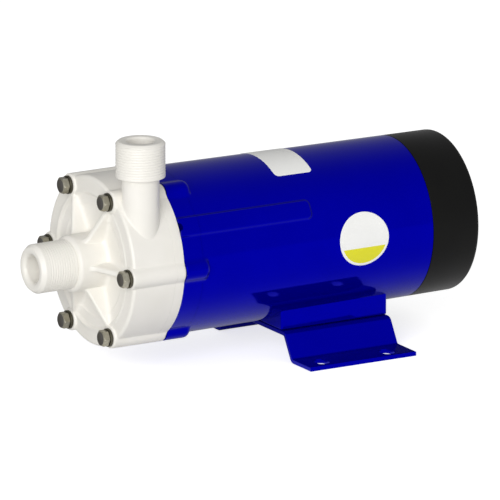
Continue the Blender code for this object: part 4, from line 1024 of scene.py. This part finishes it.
@dataclass
class MotorHousing:
    """Blue cast cylinder with screw bosses, two long raised ribs and a pedestal.

    Stations are measured from its front face, rearwards.
    """

    radius: float = 45.0 * MM
    taper: float = 0.0111
    bore: float = 39.1
    boss_end: float = 15.2 * MM
    boss_round: float = 3.6 * MM
    boss_blend: float = 1.7 * MM
    rib_angles: tuple[float, float] = (30.0, 210.0)
    rib_half: float = 5.35 * MM
    rib_end: float = 80.5 * MM
    rib_height: float = 1.7 * MM
    rib_corner: float = 3.0 * MM
    rib_edge: tuple[float, float] = (-0.8 * MM, 1.2 * MM)
    mouth_circle: float = 44.2 * MM
    pedestal_half: float = 27.3
    pedestal_corner: float = 1.2
    pedestal_round: float = 0.7
    pedestal_low: float = 15.6 * MM
    pedestal_top: float = 31.0 * MM
    length: float = PLACES.housing_rear - PLACES.housing
    label_spot: tuple[float, float] = (79.65 * MM, 90.0)
    label_half: tuple[float, float] = (11.3, 24.6)
    badge_spot: tuple[float, float] = (110.55 * MM, 3.7)
    badge_radius: float = 15.0 * MM
    field_radius: float = 13.6 * MM

    def round_radius(self, along: Array | float) -> Array | float:
        """Radius of the plain cylinder, which narrows slowly to the rear."""
        return self.radius - self.taper * along

    def angles(self) -> Array:
        """Columns round the housing in radians, close together on bosses and ribs.

        Returns:
            The angles, as a row.
        """
        bosses = np.add.outer(np.array(BOLT_ANGLES), np.linspace(-9.9, 9.9, 60)).ravel()
        ribs = np.add.outer(np.array(self.rib_angles), np.linspace(-8.6, 8.6, 76)).ravel()
        plain = np.arange(1.0, 360.0, 2.0)
        fine = np.concatenate([bosses, ribs]) % 360.0
        gap = np.abs((plain[:, None] - fine[None, :] + 180.0) % 360.0 - 180.0).min(axis=1)
        every = np.unique(np.round(np.concatenate([fine, plain[gap > 0.5]]), 4))
        return np.radians(every)[None, :]

    def stations(self) -> Array:
        """Rows along the housing, close together where bosses and ribs end.

        Returns:
            The stations, as a column.
        """
        end = np.sin(quarter(12)[:, 0])
        boss = self.boss_end - self.boss_round + self.boss_round * end
        rows = np.concatenate([[0.1], np.linspace(0.8, 11.8, 10), boss / MM, [15.24],
                               np.linspace(16.0, 76.0, 16), np.linspace(76.4, 82.0, 29),
                               np.linspace(84.0, self.length / MM - 0.3, 16)])
        return MM * rows[:, None]

    def surface(self, along: Array, angle: Array) -> Array:
        """Radius of the outside.

        The plain cylinder blended with the nearest screw boss, whose radius shrinks along
        an arc at its end, plus each long rib: a rectangle with round corners, raised by
        a step over its edge.

        Args:
            along: stations, as a column.
            angle: angles in radians, as a row.

        Returns:
            The radius at each point.
        """
        boss = BOSS_RADIUS - edge_fall(self.boss_end - along, self.boss_round, 0.0)
        boss = np.where(along > self.boss_end, -5.0 * MM, boss)
        offset = (angle + math.pi / 6.0) % (math.pi / 3.0) - math.pi / 6.0 + 0.0 * along
        radius = lobed_radius(offset, self.round_radius(along), boss, self.boss_blend)
        for degrees in self.rib_angles:
            apart = (angle - math.radians(degrees) + math.pi) % TURN - math.pi
            aside = np.abs(apart * self.radius) - self.rib_half + self.rib_corner
            onward = along - self.rib_end + self.rib_corner
            outside = np.hypot(np.maximum(aside, 0.0), np.maximum(onward, 0.0))
            edge = outside + np.minimum(np.maximum(aside, onward), 0.0) - self.rib_corner
            radius = radius + self.rib_height * rise(-edge, *self.rib_edge)
        return radius

    def shell(self) -> Skin:
        """The outside, closed by flat ends with a small chamfer.

        Returns:
            The skin.
        """
        along, angle = self.stations(), self.angles()
        outside = self.surface(along, angle)
        return Skin.over(MOTOR.place(*stack_bands(
            angle, (0.0, 0.0), (0.0, outside[:1] - 0.1 * MM), (along, outside),
            (self.length, outside[-1:] - 0.3 * MM), (self.length, 0.0))))

    def pedestal(self) -> Skin:
        """Block under the housing, with rounded edges, on which the foot is screwed.

        Returns:
            The skin.
        """
        long = 0.5 * (PLACES.foot_rear - PLACES.foot_front) / MM
        outline, inset = (rectangle(long - less, self.pedestal_half - less, corner)
                          for less, corner in ((0.0, self.pedestal_corner),
                                               (self.pedestal_round, 0.9)))
        turn = quarter(5)[..., None]
        edge = inset + (outline - inset) * np.sin(turn)
        low = self.pedestal_low + self.pedestal_round * MM * (1.0 - np.cos(turn[..., 0]))
        flat = np.concatenate([0.0 * inset[None], edge, outline[None], 0.0 * outline[None]])
        high = np.concatenate([low[:1], low, [[self.pedestal_top]] * 2])
        flat[..., 0] += 0.5 * (PLACES.foot_front + PLACES.foot_rear)
        height = np.broadcast_to(high[..., None], (*flat.shape[:2], 1))
        return Skin.over(np.concatenate([flat, height], axis=2))

    def build(self) -> None:
        """Fuse the pedestal on, bore the inside and cut the ribs' front mouths."""
        housing = make_piece("motor_housing_casting", self.shell())
        bore = Skin.rod(MOTOR, -5.0, self.length / MM + 5.0, self.bore, 128)
        mouth = rounded((-2.0, 0.0), (-2.0, 3.2), (2.6, 3.2, 2.5), (2.6, 0.0), steps=8)
        mouths = [Skin.turned(MOTOR.beside(self.mouth_circle, degrees), mouth, 48)
                  for degrees in self.rib_angles]
        combine(housing, [self.pedestal()], [bore, *mouths, *bolt_holes(MOTOR, -2.0, 11.0)])
        dress(housing, BLUE, "pump", "motor_housing")

    def film(self, name: str, finish: Finish, middle: tuple[float, float], outline: Array,
             thickness: float, lift: float) -> None:
        """A thin film on the cylinder, cut to an outline.

        Rings go from the middle out to the outline on the upper face, over the edge and
        back to the middle on the lower one, each point at the cylinder's radius plus
        its height.

        Args:
            name: name of the piece.
            finish: its finish.
            middle: station and angle in degrees of the film's middle.
            outline: points of its edge as (along, round) in metres, star-shaped.
            thickness: thickness of the film, in millimetres.
            lift: height of its lower face over the cylinder, in millimetres.
        """
        ring = np.linspace(0.0, 1.0, 25)
        edge = np.concatenate([ring, [1.0, 1.0], ring[::-1]])[:, None, None]
        edge[24] = 0.98
        height = thickness * MM * np.concatenate([np.ones(25), [0.6, 0.0], np.zeros(25)])
        flat = outline[None] * edge
        along = middle[0] + flat[..., 0]
        radius = self.round_radius(along) + lift * MM + height[:, None]
        angle = math.radians(middle[1]) + flat[..., 1] / self.radius
        dress(make_piece(name, Skin.over(MOTOR.place(along, radius, angle))), finish, "pump")

    def labels(self) -> None:
        """A bare rating label over the top, and a plain round badge on the side."""
        label = rectangle(*self.label_half, 2.6, 8)
        shares = np.linspace(0.0, 1.0, 12, endpoint=False)[:, None]
        dense = label[:, None] + (np.roll(label, -1, axis=0) - label)[:, None] * shares
        dense = dense.reshape(-1, 2)
        far = np.linalg.norm(np.diff(dense, axis=0, append=dense[:1]), axis=1) > 2e-5
        self.film("bare_label", LABEL_FILM, self.label_spot, dense[far], 0.12, 0.03)
        circle, arc = (radius * np.stack([np.cos(turn), np.sin(turn)], axis=1)
                       for radius, turn in ((self.badge_radius, full_turn(96)[0]),
                                            (self.field_radius, np.linspace(
                                                math.radians(200.0), math.radians(340.0), 64))))
        self.film("plain_badge", LABEL_FILM, self.badge_spot, circle, 0.15, 0.03)
        edge = np.concatenate([arc, np.linspace(arc[-1], arc[0], 34)[1:-1]])
        centre = edge.mean(axis=0)
        spot = (self.badge_spot[0] + centre[0],
                self.badge_spot[1] + math.degrees(centre[1] / self.radius))
        self.film("plain_badge_field", YELLOW_FILM, spot, edge - centre, 0.05, 0.19)


@dataclass
class RearCap:
    """Black cap over the fan, with vents, three sunk screws and the gland's hole.

    Sizes are in millimetres, and stations are measured from the housing's front face.
    """

    start: float = (PLACES.housing_rear - PLACES.housing) / MM + 0.08
    end: float = (PLACES.cap_rear - PLACES.housing) / MM
    wall: float = 2.2
    edge_round: float = 2.4
    spigot: float = 2.6
    spigot_outside: float = 38.8
    spigot_inside: float = 36.6
    screw_circle: float = 34.0
    vent_count: int = 7
    vent_pitch: float = 6.24
    vent_half: float = 1.3
    vent_circle: float = 23.0
    housing: MotorHousing = field(default_factory=MotorHousing)

    def build(self) -> None:
        """Turn the cap, add its screw posts and cut vents, holes and sinks."""
        start, end = self.start, self.end
        front_radius, rear_radius = (self.housing.round_radius(at * MM) / MM for at in (start, end))
        bore = rear_radius - self.wall
        profile = rounded(
            (end, 0.0), (end, rear_radius, self.edge_round), (start, front_radius, 0.25),
            (start, self.spigot_outside), (start - self.spigot, self.spigot_outside, 0.3),
            (start - self.spigot, self.spigot_inside), (start + 2.4, self.spigot_inside),
            (start + 2.4, bore), (end - self.wall, bore), (end - self.wall, 0.0), steps=6)
        cap = make_piece("rear_cap_moulding", Skin.turned(MOTOR, profile, 192))
        lines = [MOTOR.beside(self.screw_circle * MM, degrees) for degrees in THREE_ANGLES]
        hole = MM * np.array([[start - 5.0, 0.0], [start - 5.0, 1.8], [end - 2.4, 1.8],
                              [end - 2.4, 3.1], [end - 0.3, 3.1], [end + 0.2, 3.6],
                              [end + 1.0, 3.6], [end + 1.0, 0.0]])
        combine(cap, [Skin.rod(line, start - 2.3, end - 1.1, 4.2) for line in lines],
                [*(Skin.turned(line, hole, 48) for line in lines), *self.vents(),
                 Skin.rod(CableGland().line(), 36.0, 46.0, 6.3)])
        dress(cap, BLACK, "pump", "rear_cap")

    def vents(self) -> list[Skin]:
        """Tools for upright slots with round ends through the rear face, one for each.

        Returns:
            Their skins.
        """
        tools = []
        for index in range(-(self.vent_count // 2), self.vent_count // 2 + 1):
            offset = index * self.vent_pitch
            reach = math.sqrt(max(self.vent_circle ** 2 - offset ** 2, 49.0))
            slot = rectangle(self.vent_half, reach, self.vent_half - 0.05, 5, offset)
            tools.append(Skin.prism(MOTOR, slot, self.end - 4.0, self.end + 1.0))
        return tools


@dataclass
class CableGland:
    """Black gland on the far side of the cap: body, ribbed dome nut and seal.

    Sizes are in millimetres, and stations are measured from the shaft, outwards.
    """

    wall: float = 43.14
    seat: float = 46.74
    top: float = 57.14
    ribs: int = 16
    flute: float = 0.45
    forward: float = 0.85

    def line(self) -> Axis:
        """The gland's middle line, out of the far side."""
        station = 0.5 * (PLACES.housing_rear + PLACES.cap_rear) - self.forward * MM
        return Axis((station, 0.0, PLACES.shaft), (0.0, 1.0, 0.0), (1.0, 0.0, 0.0),
                    (0.0, 0.0, 1.0))

    def build(self) -> None:
        """Make and dress the three pieces, the nut with flutes between its ribs."""
        line, seat, top = self.line(), self.seat, self.top
        collar = self.wall + 0.6
        body = rounded((39.9, 6.0), (collar, 6.0), (collar, 8.2, 0.4), (seat, 8.2, 0.4),
                       (seat, 5.4), (seat + 4.0, 5.4, 0.2), (seat + 4.0, 4.6), (seat, 4.6),
                       (seat, 3.4), (39.9, 3.4, 0.3), steps=4, closed=True)
        dress(make_piece("gland_body", Skin.turned(line, body, 96)), BLACK, "pump", "cable_gland")
        seal = rounded((seat + 0.3, 4.3, 0.2), (seat + 5.5, 4.3, 0.2), (seat + 5.5, 2.8, 0.4),
                       (seat + 0.3, 2.8, 0.2), steps=3, closed=True)
        dress(make_piece("gland_rubber", Skin.turned(line, seal, 64)), RUBBER, "pump",
              "gland_seal")
        nut = rounded((seat + 5.8, 5.7), (seat + 0.3, 5.7), (seat + 0.3, 7.8, 0.3),
                      (top - 4.0, 7.8, 1.5), (top - 1.0, 5.6, 0.8), (top, 4.0, 0.5),
                      (top, 3.4, 0.3), (seat + 5.8, 3.4), closed=True)
        angle = full_turn(self.ribs * 8)
        along, radius = nut[:, :1], nut[:, 1:]
        grip = rise(radius, 7.0 * MM, 7.7 * MM) * rise(-along, -(top - 4.0) * MM, -(top - 5.5) * MM)
        flute = self.flute * MM * grip * (0.5 - 0.5 * np.cos(self.ribs * angle)) ** 2
        grid = line.place(along, radius - flute, angle)
        dress(make_piece("gland_dome_nut", Skin.over(grid, wrap_rows=True)), BLACK, "pump",
              "gland_nut")


@dataclass
class FootBracket:
    """Bent sheet foot: a crown under the pedestal, two leaning legs and two flanges.

    Sizes are in millimetres. Slots and screw holes are at distances from the front end, the
    rear end and the middle line.
    """

    sheet: float = 2.3
    height: float = 15.3
    half_width: float = 57.7
    crown: float = 30.2
    spread: float = 7.8
    bend: float = 2.6
    slot_width: float = 7.4
    slot_length: float = 10.4
    slots: tuple[float, float, float] = (11.1, 13.7, 49.9)
    screws: tuple[float, float, float] = (12.0, 12.0, 16.3)

    def middle_line(self) -> Array:
        """Middle line of the sheet across the pump, with its four bends rounded.

        Returns:
            Points as (across, height) in metres.
        """
        low = 0.5 * self.sheet
        top = self.height - low
        right = rounded((0.0, top), (self.crown, top, self.bend),
                        (self.crown + self.spread, low, self.bend), (self.half_width, low), steps=8)
        return np.concatenate([right[:0:-1] * np.array([-1.0, 1.0]), right])

    def spots(self, places: tuple[float, float, float]) -> list[Axis]:
        """Upright lines at two distances from the ends, on both sides of the middle."""
        front, rear, across = (MM * place for place in places)
        return [upright(station, side * across)
                for station in (PLACES.foot_front + front, PLACES.foot_rear - rear)
                for side in (-1.0, 1.0)]

    def build(self) -> None:
        """Give the line its thickness, carry it along the pump and cut the holes.

        Each edge of the sheet is eased: the end rows are drawn with a little less
        thickness than the rows just inside them.
        """
        line = self.middle_line()
        slope = np.gradient(line, axis=0)
        normal = np.stack([-slope[:, 1], slope[:, 0]], axis=1)
        normal /= np.linalg.norm(normal, axis=1, keepdims=True)
        start, end, ease = PLACES.foot_front, PLACES.foot_rear, 0.25 * MM
        stations = np.array([start, start + ease, end - ease, end])[:, None, None]
        half = MM * (0.5 * self.sheet - np.array([0.25, 0.0, 0.0, 0.25]))[:, None, None]
        upper = line[None] + normal[None] * half
        lower = line[None] - normal[None] * half
        loop = np.concatenate([upper, lower[:, ::-1]], axis=1)
        grid = np.concatenate([np.broadcast_to(stations, (*loop.shape[:2], 1)), loop], axis=2)
        skin = Skin.over(grid)
        near, count = np.arange(len(line) - 1), 2 * len(line)
        end_faces = np.stack([near, near + 1, count - 2 - near, count - 1 - near], axis=1)
        skin.faces = np.concatenate([skin.faces, end_faces, end_faces + 3 * count])
        bracket = make_piece("bent_foot", skin)
        wide = 0.5 * self.slot_width
        slot = rectangle(wide, 0.5 * self.slot_length, wide - 0.01, 10)
        holes = [*(Skin.prism(line, slot, -2.0, 4.0) for line in self.spots(self.slots)),
                 *(Skin.rod(line, 11.0, 18.0, 2.0) for line in self.spots(self.screws))]
        combine(bracket, [], holes)
        dress(bracket, BLUE, "pump", "foot_bracket")


# Solids that keep their own shape and only take a finish
KEPT = {
    WHITE: ("impeller", "magnet_cover", "terminal_block"),
    BLACK: ("cooling_fan",),
    SCREW: (*("cap_screw_%d" % number for number in (1, 2, 3)),
            *("foot_screw_%d" % number for number in (1, 2, 3, 4)), "cup_set_screw"),
    CERAMIC: ("spindle", "front_thrust_ring", "rear_thrust_ring"),
    CARBON: ("mouth_ring", "impeller_bush"),
    RUBBER: ("casing_o_ring",),
    FERRITE: ("inner_magnet", "drive_magnet"),
    STEEL: ("drive_cup", "motor_shaft", *("%s_bearing_%s" % (end, part)
                                          for end in ("front", "rear")
                                          for part in ("inner", "outer", "balls"))),
    LAMINATED: ("rotor_core", "stator_core"),
    COPPER: ("stator_winding",),
    ALUMINIUM: ("front_end_shield", "rear_end_shield"),
}


def finish_kept_nodes() -> None:
    """Give each solid that stays in view its material."""
    for finish, names in KEPT.items():
        for name in names:
            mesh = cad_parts[name].data
            if not mesh.materials:
                mesh.materials.append(None)
            for index in range(len(mesh.materials)):
                mesh.materials[index] = finish.material()
        LOG.info("%s: %s", finish.name, ", ".join(names))


@dataclass
class Studio:
    """Pale floor, a soft lamp, pale surroundings and the camera.

    The floor adds its glow to what it gives back. In reflections that fades across the pump,
    over painted_shade_fade, to the share painted_shade_rear_share; this dimming is painted
    shade for the pump's shadow on the floor behind it. Front and back are the brightness of
    the surroundings towards -Y and +Y, and soft is the share of it that lights surfaces.
    """

    target: Vector = field(default_factory=lambda: Vector((0.008495, 0.0, 0.05365)))
    azimuth: float = -30.18
    elevation: float = 14.86
    distance: float = 9.0
    lens: float = 1225.24
    floor_half: float = 4.0
    floor_glow: float = 0.72
    painted_shade_fade: tuple[float, float] = (-0.045, 0.03)
    painted_shade_rear_share: float = 0.15
    front: float = 1.0
    back: float = 0.36
    soft: float = 0.60
    key: tuple[float, float, float] = (-1.70, -1.70, 0.76)
    key_size: float = 1.5
    key_power: float = 40.0

    @staticmethod
    def seen(tree: Tree, mirrored: float | Node) -> Node:
        """Add the nodes that tell how far something is seen, straight on or in a reflection.

        Args:
            tree: the nodes of a material or of the world.
            mirrored: the share for glossy rays.

        Returns:
            The node that gives one for camera and transmission rays, that share for glossy
            ones and nought for the rest.
        """
        rays = add_node(tree, "ShaderNodeLightPath").outputs
        straight = add_node(tree, "ShaderNodeMath", {0: rays["Is Glossy Ray"], 1: mirrored,
                                                     2: rays["Is Camera Ray"]},
                            operation="MULTIPLY_ADD")
        return add_node(tree, "ShaderNodeMath", {0: straight, 1: rays["Is Transmission Ray"]},
                        operation="MAXIMUM")

    def floor(self) -> None:
        """A wide pale floor under the foot, paler in reflections in front than behind, where its
        dimmed glow is painted shade.
        """
        mesh = bpy.data.meshes.new("floor")
        half = self.floor_half
        corners = [(-half, -half), (half, -half), (half, half), (-half, half)]
        mesh.from_pydata([(*corner, -0.2 * MM) for corner in corners], [], [(0, 1, 2, 3)])
        plane = link_object("floor", mesh)
        paint = bpy.data.materials.new("pale floor")
        paint.use_nodes = True
        tree = paint.node_tree
        tree.nodes.clear()
        diffuse = add_node(tree, "ShaderNodeBsdfDiffuse", {"Color": linear("#E7E7E7")})
        place = add_node(tree, "ShaderNodeTexCoord").outputs["Object"]
        across = add_node(tree, "ShaderNodeSeparateXYZ", {0: place}).outputs["Y"]
        fade_start, fade_end = self.painted_shade_fade
        # painted shade: the floor's glow in reflections dims behind the pump, standing for its
        # shadow there
        mirrored = add_node(tree, "ShaderNodeMapRange",
                            {"Value": across, "From Min": fade_start, "From Max": fade_end,
                             "To Min": 1.0, "To Max": self.painted_shade_rear_share})
        lift = add_node(tree, "ShaderNodeMath",
                        {0: self.seen(tree, mirrored), 1: self.floor_glow}, operation="MULTIPLY")
        glow = add_node(tree, "ShaderNodeEmission", {"Color": (1.0, 1.0, 1.0, 1.0),
                                                     "Strength": lift})
        both = add_node(tree, "ShaderNodeAddShader", {0: diffuse, 1: glow})
        add_node(tree, "ShaderNodeOutputMaterial", {"Surface": both})
        mesh.materials.append(paint)

    def lamp(self) -> None:
        """A square soft lamp that faces the pump."""
        data = bpy.data.lights.new("key", "AREA")
        data.shape = "SQUARE"
        data.size = self.key_size
        data.energy = self.key_power
        lamp = link_object("key", data)
        lamp.location = self.key
        lamp.rotation_euler = (self.target - Vector(self.key)).to_track_quat("-Z", "Y").to_euler()

    def world(self) -> None:
        """Pale surroundings, brighter in front of the pump than behind it."""
        world = bpy.data.worlds.new("surroundings")
        world.use_nodes = True
        tree = world.node_tree
        background = tree.nodes["Background"]
        way = add_node(tree, "ShaderNodeTexCoord")
        parts = add_node(tree, "ShaderNodeSeparateXYZ", {0: way.outputs["Generated"]})
        level = add_node(tree, "ShaderNodeMapRange",
                         {"Value": parts.outputs["Y"], "From Min": -0.9, "From Max": 0.9,
                          "To Min": self.front, "To Max": self.back})
        share = add_node(tree, "ShaderNodeMapRange",
                         {"Value": self.seen(tree, 1.0), "To Min": self.soft})
        strength = add_node(tree, "ShaderNodeMath", {0: level, 1: share}, operation="MULTIPLY")
        background.inputs["Color"].default_value = (1.0, 1.0, 1.0, 1.0)
        tree.links.new(strength.outputs[0], background.inputs["Strength"])
        bpy.context.scene.world = world

    def camera(self) -> None:
        """A long lens at the photograph's angle."""
        data = bpy.data.cameras.new("camera")
        data.lens = self.lens
        data.sensor_width = 36.0
        data.clip_end = 60.0
        turn, lift = math.radians(self.azimuth), math.radians(self.elevation)
        away = Vector((math.sin(turn) * math.cos(lift), -math.cos(turn) * math.cos(lift),
                       math.sin(lift)))
        camera = link_object("camera", data)
        camera.location = self.target + self.distance * away
        camera.rotation_euler = (-away).to_track_quat("-Z", "Y").to_euler()
        bpy.context.scene.camera = camera

    def build(self) -> None:
        """Set up everything round the pump."""
        self.camera()
        self.floor()
        self.world()
        self.lamp()
        bpy.context.scene.view_settings.view_transform = "Standard"


def main() -> None:
    """Build the studio, then every piece in order."""
    logging.basicConfig(level=logging.INFO, format="%(name)s: %(message)s")
    Studio().build()
    FrontCasing().build()
    RearCasing().build()
    for number, degrees in enumerate(BOLT_ANGLES, start=1):
        CoverScrew(number, degrees).build()
    housing = MotorHousing()
    housing.build()
    housing.labels()
    RearCap().build()
    CableGland().build()
    FootBracket().build()
    finish_kept_nodes()


if __name__ == "__main__":
    main()
